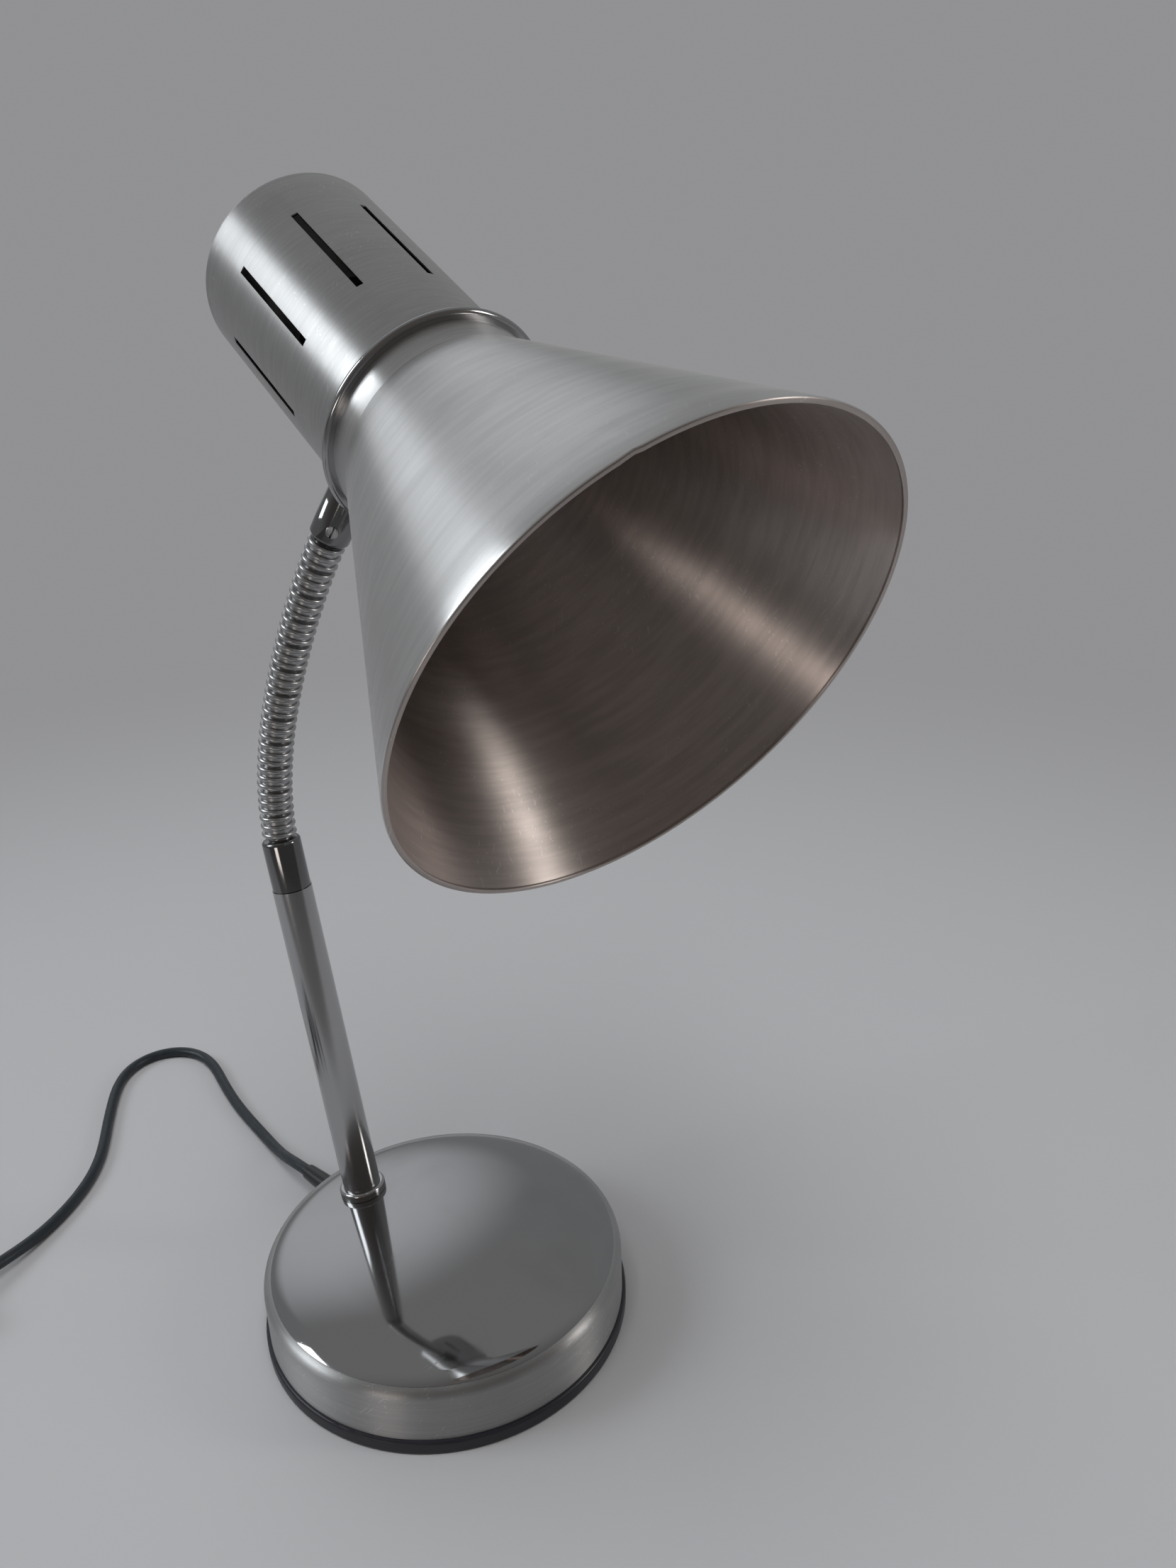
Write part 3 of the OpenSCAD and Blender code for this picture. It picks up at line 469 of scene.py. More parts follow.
def start_material(name):
    """A material with its graph, its Principled node and the piece's Object coordinates."""
    material = bpy.data.materials.new(name)
    material.use_nodes = True
    graph = Graph(material.node_tree)
    shader = material.node_tree.nodes["Principled BSDF"]
    place = graph.add("ShaderNodeTexCoord").outputs["Object"]
    return material, graph, shader, place


def local_place(g, place, at):
    """Object coordinates centred and turned into the piece's own frame, z along its axis."""
    turn = Matrix((at.x, at.y, at.z)).transposed().to_euler()
    return g.add("ShaderNodeMapping", {"vector_type": "TEXTURE"}, Vector=place, Location=at.origin,
                 Rotation=turn).outputs[0]


def round_tangent(g, place, at):
    """The direction round the piece's axis at each point, for brushed highlights."""
    moved = g.vector("SUBTRACT", place, tuple(at.origin))
    around = g.vector("CROSS_PRODUCT", tuple(at.z), moved)
    return g.add("ShaderNodeVectorTransform", {"vector_type": "VECTOR", "convert_from": "OBJECT",
                                               "convert_to": "WORLD"}, Vector=around).outputs[0]


def use_group(g, tree, **inputs):
    node = g.add("ShaderNodeGroup", {"node_tree": tree})
    for name, value in inputs.items():
        g.put(node, name, value)
    return node


def set_shader(g, shader, **inputs):
    for name, value in inputs.items():
        g.put(shader, name.replace("_", " "), value)


def bump(g, height, distance, strength=1.0):
    return g.add("ShaderNodeBump", None, Height=height, Distance=distance, Strength=strength).outputs[0]


# ---- finishes ---------------------------------------------------------------------------

def satin_metal(name, at, tone, roughness, anisotropy, line_depth, inner=None):
    """Metal brushed round its axis.

    inner = (radius, slope, height, colour, roughness) paints shade on the wall's inner face: a darker colour
    there, and its own roughness."""
    material, g, shader, place = start_material(name)
    local = local_place(g, place, at)
    lines = use_group(g, TURNING_LINES, Local=local)
    smudge = use_group(g, SMUDGES, Local=local, Scale=16.0)
    marks = use_group(g, SCRATCHES, Local=local, Amount=1.0)
    streak = g.spread(lines.outputs["Lines"], 0.3, 0.7)
    colour = g.blend(streak, grey(tone * 0.94), grey(tone * 1.05))
    # Painted shade: the wall's inner face gets a darker colour of its own, standing in for the shade inside it.
    if inner:
        radius, slope, height, (red, green, blue), inner_roughness = inner
        mask = use_group(g, INSIDE_MASK, Local=local, Radius=radius * MM, Slope=slope, Height=height * MM)
        painted_inner_shade = g.blend(streak, (red * 0.9, green * 0.9, blue * 0.9, 1),
                          (red * 1.08, green * 1.08, blue * 1.08, 1))
        colour = g.blend(mask, colour, painted_inner_shade)
    colour = g.blend(g.math("MULTIPLY", smudge.outputs[0], 0.10), colour, grey(tone * 0.6))
    colour = g.blend(g.math("MULTIPLY", marks.outputs[0], 0.25), colour, grey(0.8))
    rough = g.math("ADD", g.spread(lines.outputs["Bands"], 0.3, 0.7, roughness - 0.02, roughness + 0.02),
                   g.math("MULTIPLY", smudge.outputs[0], 0.03))
    if inner:
        rough = g.math("ADD", rough, g.math("MULTIPLY", mask.outputs[0], inner_roughness - roughness))
    set_shader(g, shader, Base_Color=colour, Metallic=1.0, Roughness=rough, Anisotropic=anisotropy,
               Anisotropic_Rotation=0.25, Tangent=round_tangent(g, place, at),
               Normal=bump(g, lines.outputs["Lines"], line_depth))
    return material


def polished_chrome(name, at, tone=0.80, roughness=0.035):
    """Bright chrome plate, with faint cloth haze and a few hairlines."""
    material, g, shader, place = start_material(name)
    local = local_place(g, place, at)
    smudge = use_group(g, SMUDGES, Local=local, Scale=22.0)
    marks = use_group(g, SCRATCHES, Local=local, Amount=0.7)
    rough = g.math("ADD", roughness, g.math("MULTIPLY", smudge.outputs[0], 0.05))
    rough = g.math("ADD", rough, g.math("MULTIPLY", marks.outputs[0], 0.10))
    colour = g.blend(smudge.outputs[0], grey(tone, 1.01), grey(tone * 0.93))
    set_shader(g, shader, Base_Color=colour, Metallic=1.0, Roughness=rough,
               Normal=bump(g, g.noise(local, 90.0, 2.0), 0.000006, 0.5))
    return material


def moulded_black(name, tone, roughness, grain=900.0, depth=0.00002, blue=1.05):
    """Black plastic or rubber with a fine moulded grain, dust in it and rubbed patches."""
    material, g, shader, place = start_material(name)
    speck = g.noise(place, grain, 3.0)
    rub = g.spread(g.noise(place, 45.0, 4.0), 0.45, 0.7)
    dust = g.spread(g.noise(place, 320.0, 5.0, 0.7), 0.55, 0.75)
    colour = g.blend(g.math("MULTIPLY", dust, 0.35), grey(tone, blue), grey(tone * 2.6, blue))
    rough = g.math("SUBTRACT", roughness, g.math("MULTIPLY", rub, 0.12))
    set_shader(g, shader, Base_Color=colour, Roughness=rough, Normal=bump(g, speck, depth))
    return material


def cord_sheath(name):
    """Smooth black PVC sheath with a faint twist of the cores under it."""
    material, g, shader, _ = start_material(name)
    uv = g.add("ShaderNodeUVMap", {"uv_map": "along"}).outputs[0]
    parts = g.add("ShaderNodeSeparateXYZ", None, Vector=uv)
    twist = g.math("ADD", parts.outputs["X"], g.math("MULTIPLY", parts.outputs["Y"], 28.0))
    lay = g.math("SINE", g.math("MULTIPLY", twist, 4 * math.pi))
    along = g.add("ShaderNodeCombineXYZ", None, X=g.math("MULTIPLY", parts.outputs["X"], 3.0),
                  Y=g.math("MULTIPLY", parts.outputs["Y"], 60.0))
    scuff = g.spread(g.noise(along, 3.0, 4.0), 0.5, 0.75)
    colour = g.blend(g.math("MULTIPLY", scuff, 0.5), (0.010, 0.015, 0.020, 1), (0.026, 0.034, 0.042, 1))
    rough = g.spread(g.noise(along, 9.0, 3.0), 0.3, 0.7, 0.36, 0.52)
    set_shader(g, shader, Base_Color=colour, Roughness=rough, Normal=bump(g, lay, 0.00006, 0.6))
    return material


def worn_metal(name, colour, roughness, grain=500.0, stain=(0.5, 0.5, 0.5)):
    """Small hidden metal parts: plated steel, brass and cast iron."""
    material, g, shader, place = start_material(name)
    patch = g.spread(g.noise(place, 90.0, 5.0, 0.6), 0.42, 0.68)
    dark = [c * s for c, s in zip(colour, stain)] + [1]
    set_shader(g, shader, Base_Color=g.blend(patch, list(colour) + [1], dark), Metallic=1.0,
               Roughness=g.spread(patch, 0.0, 1.0, roughness, roughness + 0.15),
               Normal=bump(g, g.noise(place, grain, 4.0), 0.00003, 0.6))
    return material


def glazed_porcelain(name):
    material, g, shader, place = start_material(name)
    tint = g.spread(g.noise(place, 120.0, 3.0), 0.35, 0.7)
    set_shader(g, shader, Base_Color=g.blend(tint, (0.84, 0.83, 0.79, 1), (0.76, 0.74, 0.69, 1)),
               Roughness=g.spread(tint, 0.0, 1.0, 0.14, 0.3),
               Normal=bump(g, g.noise(place, 300.0), 0.00002, 0.4))
    return material


def pale_sleeve(name):
    material, g, shader, place = start_material(name)
    tint = g.spread(g.noise(place, 240.0, 3.0), 0.35, 0.7)
    set_shader(g, shader, Base_Color=g.blend(tint, (0.78, 0.77, 0.73, 1), (0.66, 0.65, 0.60, 1)),
               Roughness=0.5, Normal=bump(g, g.noise(place, 700.0), 0.00002, 0.5))
    return material


CONE_SLOPE = (CONE_TOP_R - MOUTH_R) / (CONE_LEN - HEM_DEEP)
# Painted shade: the shade's inner face is coloured darker and warmer, and the canister's inner face near black,
# for the shade inside them.
PAINTED_SHADE_INSIDE_TONE = (0.50, 0.445, 0.42)
ALUMINIUM = satin_metal("spun aluminium", AT_HEAD, 0.66, 0.31, 0.84, 0.000006,
                        (MOUTH_R + 0.4, CONE_SLOPE, CONE_LEN - 0.2, PAINTED_SHADE_INSIDE_TONE, 0.37))
CAN_ALUMINIUM = satin_metal("canister aluminium", AT_HEAD, 0.47, 0.38, 0.74, 0.000004,
                            (CAN_R, 0.0, CAN_END - 3.5, (0.04, 0.04, 0.04), 0.37))
WALL_STEEL = satin_metal("side wall steel", ON_FLOOR, 0.42, 0.43, 0.90, 0.000003)
COVER_CHROME = polished_chrome("cover chrome", ON_FLOOR, 0.36, 0.06)
POLE_CHROME = polished_chrome("pole chrome", AT_FOOT, 0.42, 0.16)
FERRULE_CHROME = polished_chrome("ferrule chrome", AT_FOOT, 0.20, 0.08)
NECK_CHROME = polished_chrome("neck chrome", AT_FOOT, 0.44, 0.29)
RING_CHROME = polished_chrome("ring chrome", AT_HEAD, 0.36, 0.14)
PAN_BLACK = moulded_black("pan enamel", 0.011, 0.42, 700.0, blue=1.5)
CORD_BLACK = cord_sheath("cord sheath")
PLASTIC_BLACK = moulded_black("switch plastic", 0.012, 0.30, 1200.0, 0.000012)
HOLDER_BLACK = moulded_black("lampholder phenolic", 0.014, 0.34, 800.0)
BRASS = worn_metal("brass", (0.66, 0.50, 0.24), 0.24)
ZINC = worn_metal("zinc plate", (0.58, 0.59, 0.60), 0.34)
IRON = worn_metal("cast iron", (0.10, 0.10, 0.105), 0.62, 260.0)
NICKEL = worn_metal("nickel plate", (0.70, 0.67, 0.61), 0.20)
PORCELAIN = glazed_porcelain("porcelain")
SLEEVE = pale_sleeve("wire sleeve")


# ---- cord -------------------------------------------------------------------------------

CORD_D = 5.2
CORD_R = CORD_D / 2
CORD_PITCH = CORD_D + 0.1
COIL_D = 59.6
COIL_MID = (-222, 113)
COIL_COLUMNS = 4
COIL_START = 100
COIL_LAST_ARC = 100
SHIFT_ARC = 110
RISE_FROM = 200
RISE_ARC = 75
DROP_ARC = 16
GLAND_TIP = 97.5
SWITCH_MID = (-157, 163)
SWITCH_HEADING = 190
SWITCH_HALF = 39
SWITCH_CORD_H = 7.5
PLUG_MID = (-233, 33)
PLUG_HEADING = -70
PLUG_HALF = 37
PLUG_CORD_H = 6.85
ROUTE_OUT = [
    (11.5, 108, 12.2), (14.5, 119, 8.2), (18.5, 130, 4.2), (22, 141, 2.7), (25, 152.5, 2.6),
    (28, 164.5, 2.6), (31.5, 177, 2.6), (36, 190, 2.6), (41, 202.5, 2.6), (46, 214, 2.6),
    (49.6, 223, 2.6), (50.9, 231.9, 2.6), (49.6, 242.2, 2.6), (44, 251, 2.6), (35.2, 256.6, 2.6),
    (24.9, 257.9, 2.6), (15, 254.8, 2.6), (4.5, 246.5, 2.6), (-5.5, 235.5, 2.6), (-18, 221, 2.6),
    (-33.5, 202.5, 2.6), (-49.5, 190, 2.6), (-67, 181.5, 2.6), (-85, 176, 3.2), (-99, 173, 5.6),
]
ROUTE_COIL = [(-215, 153, 5)]


def heading(degrees):
    return Vector((math.cos(math.radians(degrees)), math.sin(math.radians(degrees)), 0))


def smooth_share(t):
    t = min(max(t, 0), 1)
    return t * t * (3 - 2 * t)


def curve_through(points, step=2.0):
    """A centripetal Catmull-Rom curve through the points, in steps of about that many millimetres."""
    points = [Vector(p) for p in points]
    ends = [2 * points[0] - points[1]] + points + [2 * points[-1] - points[-2]]
    line = []
    for a, b, c, d in zip(ends, ends[1:], ends[2:], ends[3:]):
        t1 = math.sqrt((b - a).length)
        t2 = t1 + math.sqrt((c - b).length)
        t3 = t2 + math.sqrt((d - c).length)
        count = max(1, round((c - b).length / step))
        for k in range(count):
            t = t1 + (t2 - t1) * k / count
            ab = a * (t1 - t) / t1 + b * t / t1
            bc = b * (t2 - t) / (t2 - t1) + c * (t - t1) / (t2 - t1)
            cd = c * (t3 - t) / (t3 - t2) + d * (t - t2) / (t3 - t2)
            abc = ab * (t2 - t) / t2 + bc * t / t2
            bcd = bc * (t3 - t) / (t3 - t1) + cd * (t - t1) / (t3 - t1)
            line.append(abc * (t2 - t) / (t2 - t1) + bcd * (t - t1) / (t2 - t1))
    return line + [points[-1]]


def relaxed(line, held=3, passes=40):
    """The same line with its tight places eased, as a stiff cord lies. Its ends stay."""
    for _ in range(passes):
        middle = [(a + 2 * b + c) / 4 for a, b, c in zip(line, line[1:], line[2:])]
        line = line[:held] + middle[held - 1:len(line) - held - 1] + line[-held:]
    return line


def coil_line():
    """The coil's turns: a layer inwards on the floor, then a layer outwards in its grooves."""
    groove = CORD_R + 0.88 * CORD_D
    crest = CORD_R + 1.01 * CORD_D
    radii = [COIL_D / 2 + (COIL_COLUMNS / 2 - 0.5 - k) * CORD_PITCH for k in range(COIL_COLUMNS)]
    radii += [COIL_D / 2 - (COIL_COLUMNS / 2 - 1 - k) * CORD_PITCH for k in range(COIL_COLUMNS - 1)]
    line = []
    for turn, radius in enumerate(radii):
        last = turn == len(radii) - 1
        change = 0 if last else radii[turn + 1] - radius
        for a in range(0, COIL_LAST_ARC if last else 360, 5):
            r = radius + change * smooth_share((a - 360 + SHIFT_ARC) / SHIFT_ARC)
            down = smooth_share((a - 360 + DROP_ARC) / DROP_ARC)
            if turn < COIL_COLUMNS - 1:
                z = CORD_R
            elif turn == COIL_COLUMNS - 1:
                rise = smooth_share((a - RISE_FROM) / RISE_ARC)
                z = CORD_R + (crest - CORD_R) * rise - (crest - groove) * down
            else:
                up = smooth_share((a - 360 + SHIFT_ARC) / DROP_ARC)
                z = groove + (crest - groove) * (up - down)
            line.append(Vector((*COIL_MID, z)) + r * heading(COIL_START + a))
    return line


def cord_path():
    """The cord's centreline in millimetres, from inside its gland to inside the plug's sleeve."""
    gland = GLAND_TIP * GLAND_WAY + Vector((0, 0, GLAND_H))
    switch_way = heading(SWITCH_HEADING)
    switch = Vector((*SWITCH_MID, SWITCH_CORD_H))
    plug_way = heading(PLUG_HEADING)
    plug = Vector((*PLUG_MID, PLUG_CORD_H)) - PLUG_HALF * plug_way
    turns = coil_line()
    over_coil = turns[-1] + 15 * plug_way + Vector((0, 0, 0.7))
    before = relaxed(curve_through(
        [gland - s * GLAND_WAY for s in (6, 0)] + ROUTE_OUT
        + [switch + s * SWITCH_HALF * switch_way for s in (-1.15, -1, -0.5, 0, 0.5, 1, 1.15)]
        + ROUTE_COIL + turns[:4]))
    after = relaxed(curve_through(
        turns[-4:] + [over_coil] + [plug + s * plug_way for s in (-6, 0, 8)]))
    return before + turns[4:-4] + after


make_camera()
CORD_PATH = [p * MM for p in cord_path()]
cord = tube("cord", CORD_PATH, CORD_R * MM, CORD_BLACK)
seat(cord, "cord_to_switch", "cord_to_coil", "cord_coil", "cord_to_plug")


# ---- base -------------------------------------------------------------------------------

def cover_outline():
    """The cover's section: dome, shoulder and edge, each arc touching the next, and the same inset inside."""
    slope = math.asin((RIM_R - SHOULDER_W) / DOME_R)
    shoulder_x = (DOME_R - SHOULDER_R) * math.sin(slope)
    edge_slope = math.asin((RIM_R - COVER_EDGE_W - shoulder_x) / SHOULDER_R)
    edge_x = shoulder_x + (SHOULDER_R - COVER_EDGE_R) * math.sin(edge_slope)
    edge_z = CREASE_H - math.sqrt(COVER_EDGE_R ** 2 - (RIM_R - edge_x) ** 2)
    shoulder_z = edge_z - (SHOULDER_R - COVER_EDGE_R) * math.cos(edge_slope)
    dome_z = shoulder_z - (DOME_R - SHOULDER_R) * math.cos(slope)
    one, two = 90 - math.degrees(slope), 90 - math.degrees(edge_slope)

    def skin(inset, steps):
        last = math.degrees(math.asin((CREASE_H - edge_z) / (COVER_EDGE_R - inset)))
        return (arc(0, dome_z, DOME_R - inset, 90, one, steps)
                + arc(shoulder_x, shoulder_z, SHOULDER_R - inset, one, two, steps)[1:]
                + arc(edge_x, edge_z, COVER_EDGE_R - inset, two, last, steps)[1:])

    outside, inside = skin(0, 16), skin(COVER_T, 8)[::-1]
    outside[0] = (0, outside[0][1])
    inside[-1] = (0, inside[-1][1])
    return outside + inside


def wall_outline():
    """The side wall's section: a straight band with a rounded upper edge, open below."""
    foot = PAN_H + FIT
    outside = [(WALL_R, foot)] + arc(EDGE_R, CREASE_H - WALL_ROUND, WALL_ROUND, 0, 90, 10)
    inside = arc(EDGE_R, CREASE_H - WALL_ROUND, WALL_ROUND - WALL_T, 90, 0, 8)
    lip = [(LIP_R, CREASE_H), (LIP_R, CREASE_H - WALL_T)]
    return outside + lip + inside + [(WALL_R - WALL_T, foot)]


seat(turned("cover", ON_FLOOR, cover_outline(), COVER_CHROME, 192, 50), "base_cover")
seat(turned("side_wall", ON_FLOOR, wall_outline(), WALL_STEEL, 192, 50), "base_skirt")


# ---- pole -------------------------------------------------------------------------------

pole = [(NIPPLE_R, FOOT_GAP), (POLE_R, FOOT_GAP), (POLE_R, POLE_TOP), (POLE_BORE_R, POLE_TOP),
        (POLE_BORE_R, PLUG_DEPTH), (NIPPLE_R, PLUG_DEPTH)]
seat(turned("pole_tube", AT_FOOT, pole, POLE_CHROME, 96), "pole")
collar = ([(POLE_R + FIT, 0), (COLLAR_R, 0)]
          + arc(COLLAR_R - COLLAR_ROUND, COLLAR_H - COLLAR_ROUND, COLLAR_ROUND, 0, 90, 8)
          + [(POLE_R + FIT, COLLAR_H)])
seat(turned("foot_collar", AT_FOOT, collar, POLE_CHROME, 96), "pole_collar")
ferrule = ([(WIRE_R, POLE_TOP - STUB_LEN), (STUB_R, POLE_TOP - STUB_LEN), (STUB_R, POLE_TOP),
            (FERRULE_R - FERRULE_FOOT, POLE_TOP), (FERRULE_R, POLE_TOP + FERRULE_FOOT)]
           + arc(FERRULE_R - FERRULE_ROUND, FERRULE_END - FERRULE_ROUND, FERRULE_ROUND, 0, 90, 8)
           + [(FERRULE_MOUTH_R, FERRULE_END)] + arc(0, POLE_LEN, SEAT_R, *FERRULE_SEAT_ARC, 8)
           + [(WIRE_R, FERRULE_END - FERRULE_SEAT_DEPTH)])
seat(turned("top_ferrule", AT_FOOT, ferrule, FERRULE_CHROME, 96), "pole_ferrule")


# ---- neck -------------------------------------------------------------------------------

def make_bead_tree():
    """Beads round a core: so many rings, a pitch apart, the first half a pitch up."""
    tree = bpy.data.node_groups.new("Beads round a core", "GeometryNodeTree")
    for label, kind in (("Core", "NodeSocketGeometry"), ("Beads", "NodeSocketInt"), ("Pitch", FLOAT),
                        ("Ring Radius", FLOAT), ("Bead Radius", FLOAT), ("Finish", "NodeSocketMaterial")):
        tree.interface.new_socket(label, in_out="INPUT", socket_type=kind)
    tree.interface.new_socket("Link", in_out="OUTPUT", socket_type="NodeSocketGeometry")
    g = Graph(tree)
    given = tree.nodes.new("NodeGroupInput").outputs
    ring = g.add("GeometryNodeCurvePrimitiveCircle", None, Resolution=72, Radius=given["Ring Radius"])
    section = g.add("GeometryNodeCurvePrimitiveCircle", None, Resolution=16, Radius=given["Bead Radius"])
    bead = g.add("GeometryNodeCurveToMesh", None, Curve=ring, Profile_Curve=section)
    first = g.add("ShaderNodeCombineXYZ", None, Z=g.math("MULTIPLY", given["Pitch"], 0.5))
    step = g.add("ShaderNodeCombineXYZ", None, Z=given["Pitch"])
    spots = g.add("GeometryNodeMeshLine", None, Count=given["Beads"], Start_Location=first, Offset=step)
    beads = g.add("GeometryNodeInstanceOnPoints", None, Points=spots, Instance=bead)
    both = g.add("GeometryNodeJoinGeometry", None, Geometry=beads)
    g.put(both, "Geometry", given["Core"])
    solid = g.add("GeometryNodeRealizeInstances", None, Geometry=both)
    done = g.add("GeometryNodeSetMaterial", None, Geometry=solid, Material=given["Finish"])
    g.add("NodeGroupOutput", None, Link=done)
    return tree


def ball_arc(z, end, steps=10):
    """The ball below the piece, from its cut foot up to a height."""
    start = -math.degrees(math.asin(BALL_CUT / BALL_R))
    return arc(0, z, BALL_R, start, math.degrees(math.asin(end / BALL_R)), steps)


def link_outline():
    """One link without its beads: ball, core, and the seat that takes the next ball."""
    gap = LINK_LEN / RIBS / 2 - RIB_R
    seat_from = -math.degrees(math.asin(gap / SEAT_R))
    seat_to = -math.degrees(math.asin(SEAT_DEPTH / SEAT_R))
    return ([(WIRE_R, -BALL_CUT)] + ball_arc(0, gap) + [(CORE_R, gap), (CORE_R, LINK_LEN - gap)]
            + arc(0, LINK_LEN, SEAT_R, seat_from, seat_to, 8) + [(WIRE_R, LINK_LEN - SEAT_DEPTH)])


BEADS = make_bead_tree()
for number, place in enumerate(LINK_PLACES, 1):
    core = worked(lathe(link_outline(), 72), BEADS, Beads=RIBS, Pitch=LINK_LEN / RIBS, Ring_Radius=RIB_RING_R,
                  Bead_Radius=RIB_R, Finish=NECK_CHROME)
    link = finish_mesh(core, f"link_{number:02d}", NECK_CHROME, place, 40)
    seat(link, f"gooseneck_link_{number:02d}")


# ---- head -------------------------------------------------------------------------------

def shade_outline():
    """The shade's section: a hem round the mouth, the cone, and the neck that takes the canister."""
    hem = arc(MOUTH_R - HEM_ROUND, HEM_ROUND, HEM_ROUND, 0, -90, 6)
    inner_hem = arc(MOUTH_R - HEM_W + HEM_INNER_ROUND, HEM_INNER_ROUND, HEM_INNER_ROUND, -90, -180, 5)
    outside = [(NECK_R, RING_AT), (NECK_R, CONE_LEN + 1.8), (NECK_R + 0.25, CONE_LEN + 1.15),
               (NECK_R + 0.75, CONE_LEN + 0.6), (CONE_TOP_R - 0.1, CONE_LEN - 0.1)]
    steps = 12
    slope = [(CONE_TOP_R + (MOUTH_R - CONE_TOP_R) * k / steps, CONE_LEN + (HEM_DEEP - CONE_LEN) * k / steps)
             for k in range(1, steps + 1)]
    wall = SHADE_T * math.hypot(MOUTH_R - CONE_TOP_R, CONE_LEN - HEM_DEEP) / (CONE_LEN - HEM_DEEP)
    inside = [(r - wall, z) for r, z in reversed(slope)]
    inside += [(CONE_TOP_R - wall, CONE_LEN - 0.6), (NECK_R - SHADE_T, CONE_LEN + 1),
               (NECK_R - SHADE_T, RING_AT)]
    return outside + slope + hem + inner_hem + [(MOUTH_R - HEM_W, HEM_DEEP)] + inside


def ring_outline():
    """The trim ring's section, half round on the outside."""
    middle = RING_AT + RING_W / 2
    bead = RING_W / 2 - 0.1
    return ([(CAN_R + FIT, RING_AT), (RING_R - bead, RING_AT)]
            + arc(RING_R - bead, middle, bead, -90, 90, 16)
            + [(CAN_R + FIT, RING_AT + RING_W)])


def canister_outline():
    """The canister's section: a thin closed cup with a rounded end."""
    middle = (CAN_R - CAN_ROUND, CAN_END - CAN_ROUND)
    outside = [(CAN_R, CAN_START)] + arc(*middle, CAN_ROUND, 0, 90, 10) + [(0, CAN_END)]
    inside = ([(0, CAN_END - CAN_T)] + arc(*middle, CAN_ROUND - CAN_T, 90, 0, 8)
              + [(CAN_R - CAN_T, CAN_START)])
    return outside + inside


def make_slot_tree():
    """Slots cut through a tube's wall, evenly round it, and one hole for the nipple."""
    tree = bpy.data.node_groups.new("Slots round a tube", "GeometryNodeTree")
    for label, kind in (("Tube", "NodeSocketGeometry"), ("Slots", "NodeSocketInt"), ("First Angle", FLOAT),
                        ("Tube Radius", FLOAT), ("Slot Width", FLOAT), ("Slot Length", FLOAT),
                        ("Slot Middle", FLOAT), ("Hole Radius", FLOAT), ("Hole Height", FLOAT),
                        ("Finish", "NodeSocketMaterial")):
        tree.interface.new_socket(label, in_out="INPUT", socket_type=kind)
    tree.interface.new_socket("Canister", in_out="OUTPUT", socket_type="NodeSocketGeometry")
    g = Graph(tree)
    given = tree.nodes.new("NodeGroupInput").outputs
    size = g.add("ShaderNodeCombineXYZ", None, X=given["Tube Radius"], Y=given["Slot Width"],
                 Z=given["Slot Length"])
    middle = g.add("ShaderNodeCombineXYZ", None, X=given["Tube Radius"], Z=given["Slot Middle"])
    block = g.add("GeometryNodeMeshCube", None, Size=size)
    cutter = g.add("GeometryNodeTransform", None, Geometry=block, Translation=middle)
    spots = g.add("GeometryNodePoints", None, Count=given["Slots"])
    share = g.math("DIVIDE", g.add("GeometryNodeInputIndex"), given["Slots"])
    angle = g.math("ADD", given["First Angle"], g.math("MULTIPLY", share, 2 * math.pi))
    turn = g.add("FunctionNodeEulerToRotation", None, Euler=g.add("ShaderNodeCombineXYZ", None, Z=angle))
    blocks = g.add("GeometryNodeInstanceOnPoints", None, Points=spots, Instance=cutter, Rotation=turn)
    side = g.add("ShaderNodeCombineXYZ", None, X=given["Tube Radius"], Z=given["Hole Height"])
    drill = g.add("GeometryNodeMeshCylinder", None, Vertices=48, Radius=given["Hole Radius"],
                  Depth=given["Tube Radius"])
    drill = g.add("GeometryNodeTransform", None, Geometry=drill, Translation=side,
                  Rotation=(0, math.pi / 2, 0))
    cutters = g.add("GeometryNodeJoinGeometry", None, Geometry=blocks)
    g.put(cutters, "Geometry", drill)
    cutters = g.add("GeometryNodeRealizeInstances", None, Geometry=cutters)
    cut = g.add("GeometryNodeMeshBoolean", {"operation": "DIFFERENCE", "solver": "EXACT"})
    g.put(cut, "Mesh 1", given["Tube"])
    g.put(cut, "Mesh 2", cutters)
    done = g.add("GeometryNodeSetMaterial", None, Geometry=cut, Material=given["Finish"])
    g.add("NodeGroupOutput", None, Canister=done)
    return tree


def dent_rim(shade):
    """A small nick in the mouth's edge, as a knock leaves it."""
    for v in shade.data.vertices:
        local = Vector(v.co) - AT_HEAD.origin
        angle = math.atan2(local.dot(AT_HEAD.y), local.dot(AT_HEAD.x))
        height = local.dot(AT_HEAD.z) / MM
        off = abs(math.degrees(angle - math.radians(NICK_ANGLE))) / NICK_WIDTH
        if height < HEM_DEEP and off < 1:
            v.co += NICK_DEEP * MM * (1 - off) * AT_HEAD.z


shade_piece = turned("shade_cone", AT_HEAD, shade_outline(), ALUMINIUM, 256, 40)
dent_rim(shade_piece)
seat(shade_piece, "shade")
seat(turned("ring", AT_HEAD, ring_outline(), RING_CHROME, 192, 50), "trim_ring")
can = worked(lathe(canister_outline(), 256), make_slot_tree(), Slots=SLOTS,
             First_Angle=math.radians(SLOT_START), Tube_Radius=float(CAN_R), Slot_Width=SLOT_W,
             Slot_Length=float(SLOT_LEN), Slot_Middle=float(SLOT_MID), Hole_Radius=NIPPLE_R + FIT,
             Hole_Height=NIPPLE_AT, Finish=CAN_ALUMINIUM)
seat(finish_mesh(can, "slotted_canister", CAN_ALUMINIUM, AT_HEAD, 35), "canister")


# ---- the other solids -------------------------------------------------------------------

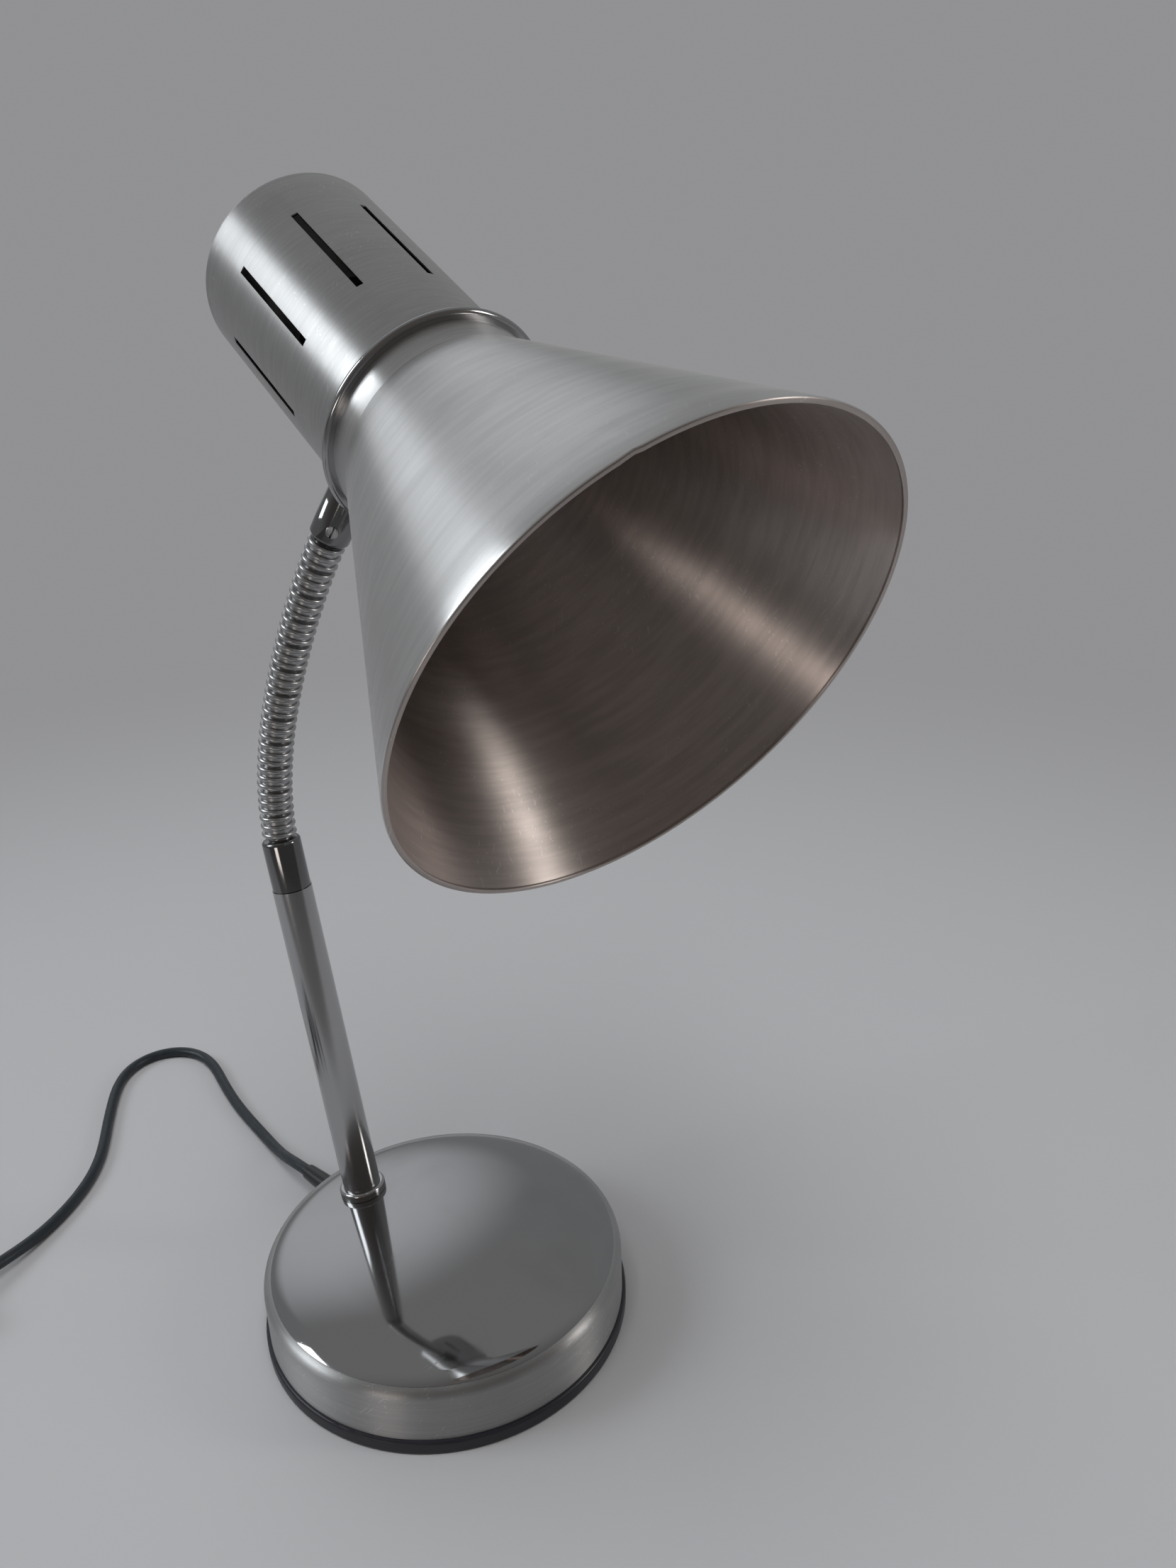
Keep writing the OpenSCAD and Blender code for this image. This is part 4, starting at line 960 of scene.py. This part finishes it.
FINISHES = {
    "base_pan": PAN_BLACK, "base_weight": IRON, "pan_screws": ZINC, "pole_nipple": BRASS,
    "nipple_washer": ZINC, "nipple_nut": ZINC, "pole_lead": SLEEVE, "cord_gland": PLASTIC_BLACK,
    "cord_stop": PLASTIC_BLACK, "switch_base": PLASTIC_BLACK, "switch_cover": PLASTIC_BLACK,
    "switch_contacts": BRASS, "switch_rocker": PLASTIC_BLACK, "coil_tie": SLEEVE, "plug_body": PLASTIC_BLACK,
    "plug_pins": NICKEL, "head_ferrule": FERRULE_CHROME, "ferrule_screw": ZINC, "ferrule_nut": BRASS,
    "bracket": ZINC, "holder_body": HOLDER_BLACK, "holder_cap": HOLDER_BLACK,
    "holder_thread": NICKEL, "holder_disc": PORCELAIN, "centre_contact": BRASS, "holder_nipple": BRASS,
    "holder_nut": ZINC, "head_lead": SLEEVE,
}
for node, finish in FINISHES.items():
    smoothed(node, finish)


# ---- stage and light --------------------------------------------------------------------

FLOOR_TONE = (0.47, 0.475, 0.49)
WALL_TONE = (0.285, 0.285, 0.293)
FLOOR_NEAR = 0.35
FLOOR_FAR = 1.1
LAMP_MIDDLE = Vector((0, 0, 0.2))

# The room: its plain tone, its ceiling, a bright wall behind the lamp and a dark side in front of it
ROOM_TONE = (0.29, 0.295, 0.30, 1)
CEILING_TONE = (0.31, 0.31, 0.31, 1)
BRIGHT_TONE = (0.76, 0.78, 0.81, 1)
DARK_TONE = (0.13, 0.118, 0.11, 1)
DARK_SIDE = Vector((-0.50, -0.86, 0.10))
BRIGHT_WALL = Vector((0.40, 0.76, 0.51)).normalized()
NEAR_SIDE = Vector((-0.80, -0.60, 0))


def make_floor():
    """A plain pale floor that goes over into the wall's tone far from the lamp.

    In reflections its near side is darker, as the floor beyond a table's edge."""
    material, g, shader, place = start_material("floor")
    set_shader(g, shader, Roughness=0.5, Specular_IOR_Level=0.0)
    rays = g.add("ShaderNodeLightPath")
    seen = g.math("MAXIMUM", rays.outputs["Is Camera Ray"], rays.outputs["Is Glossy Ray"])
    away = g.spread(g.vector("LENGTH", place), FLOOR_NEAR, FLOOR_FAR)
    near = g.spread(g.vector("DOT_PRODUCT", place, tuple(NEAR_SIDE)), 0.17, 0.32)
    dim = g.math("MULTIPLY", near, rays.outputs["Is Glossy Ray"])
    set_shader(g, shader, Base_Color=g.blend(dim, (*FLOOR_TONE, 1), grey(0.20)))
    wall = g.add("ShaderNodeEmission", None, Strength=1.0,
                 Color=g.blend(dim, (*WALL_TONE, 1), grey(0.11)))
    mixed = g.add("ShaderNodeMixShader", None, Fac=g.math("MULTIPLY", seen, away))
    g.put(mixed, "1", shader.outputs[0])
    g.put(mixed, "2", wall)
    g.put(material.node_tree.nodes["Material Output"], "Surface", mixed)
    bm = bmesh.new()
    bmesh.ops.create_circle(bm, cap_ends=True, segments=96, radius=4.0)
    mesh = bpy.data.meshes.new("floor")
    bm.to_mesh(mesh)
    bm.free()
    add_object("floor", mesh, material)


def add_area(name, way, distance, size, power, colour=(1, 1, 1)):
    """An area light at a distance in a direction from the lamp's middle, turned towards it."""
    data = bpy.data.lights.new(name, "AREA")
    data.shape = "RECTANGLE"
    data.size, data.size_y = size
    data.energy = power
    data.color = colour
    lamp = bpy.data.objects.new(name, data)
    way = Vector(way).normalized()
    lamp.location = LAMP_MIDDLE + distance * way
    lamp.rotation_euler = way.to_track_quat("Z", "Y").to_euler()
    bpy.context.scene.collection.objects.link(lamp)
    return lamp


def make_world():
    """The room that the metal reflects. The camera sees only the plain wall's tone."""
    world = bpy.data.worlds.new("studio")
    world.use_nodes = True
    bpy.context.scene.world = world
    tree = world.node_tree
    tree.nodes.clear()
    g = Graph(tree)
    rays = g.add("ShaderNodeLightPath")
    way = g.add("ShaderNodeTexCoord").outputs["Generated"]
    dark_side = g.spread(g.vector("DOT_PRODUCT", way, tuple(DARK_SIDE)), -0.1, 0.75)
    overhead = g.spread(g.add("ShaderNodeSeparateXYZ", None, Vector=way).outputs["Z"], 0.55, 0.95)
    bright = g.spread(g.vector("DOT_PRODUCT", way, tuple(BRIGHT_WALL)), 0.89, 0.998)
    room = g.blend(overhead, ROOM_TONE, CEILING_TONE)
    room = g.blend(bright, room, BRIGHT_TONE)
    room = g.blend(dark_side, room, DARK_TONE)
    shown = g.blend(rays.outputs["Is Camera Ray"], room, (*WALL_TONE, 1))
    light = g.add("ShaderNodeBackground", None, Color=shown, Strength=1.0)
    out = g.add("ShaderNodeOutputWorld")
    g.put(out, "Surface", light)


make_floor()
add_area("window", (-0.57, 0.62, 0.55), 2.5, (1.0, 1.0), 18, (0.93, 0.97, 1.0))
add_area("room light", (0.49, -0.80, 0.34), 2.6, (0.4, 0.9), 10, (1.0, 0.96, 0.92))
card = add_area("low card", (-0.963, -0.175, -0.17), 0.8, (0.22, 0.12), 0.35, (1.0, 0.90, 0.84))
card.visible_diffuse = False
ceiling = add_area("ceiling light", (-0.21, -0.15, 0.97), 2.6, (1.6, 1.6), 34)
ceiling.visible_glossy = False
make_world()
bpy.context.scene.view_settings.view_transform = "Standard"
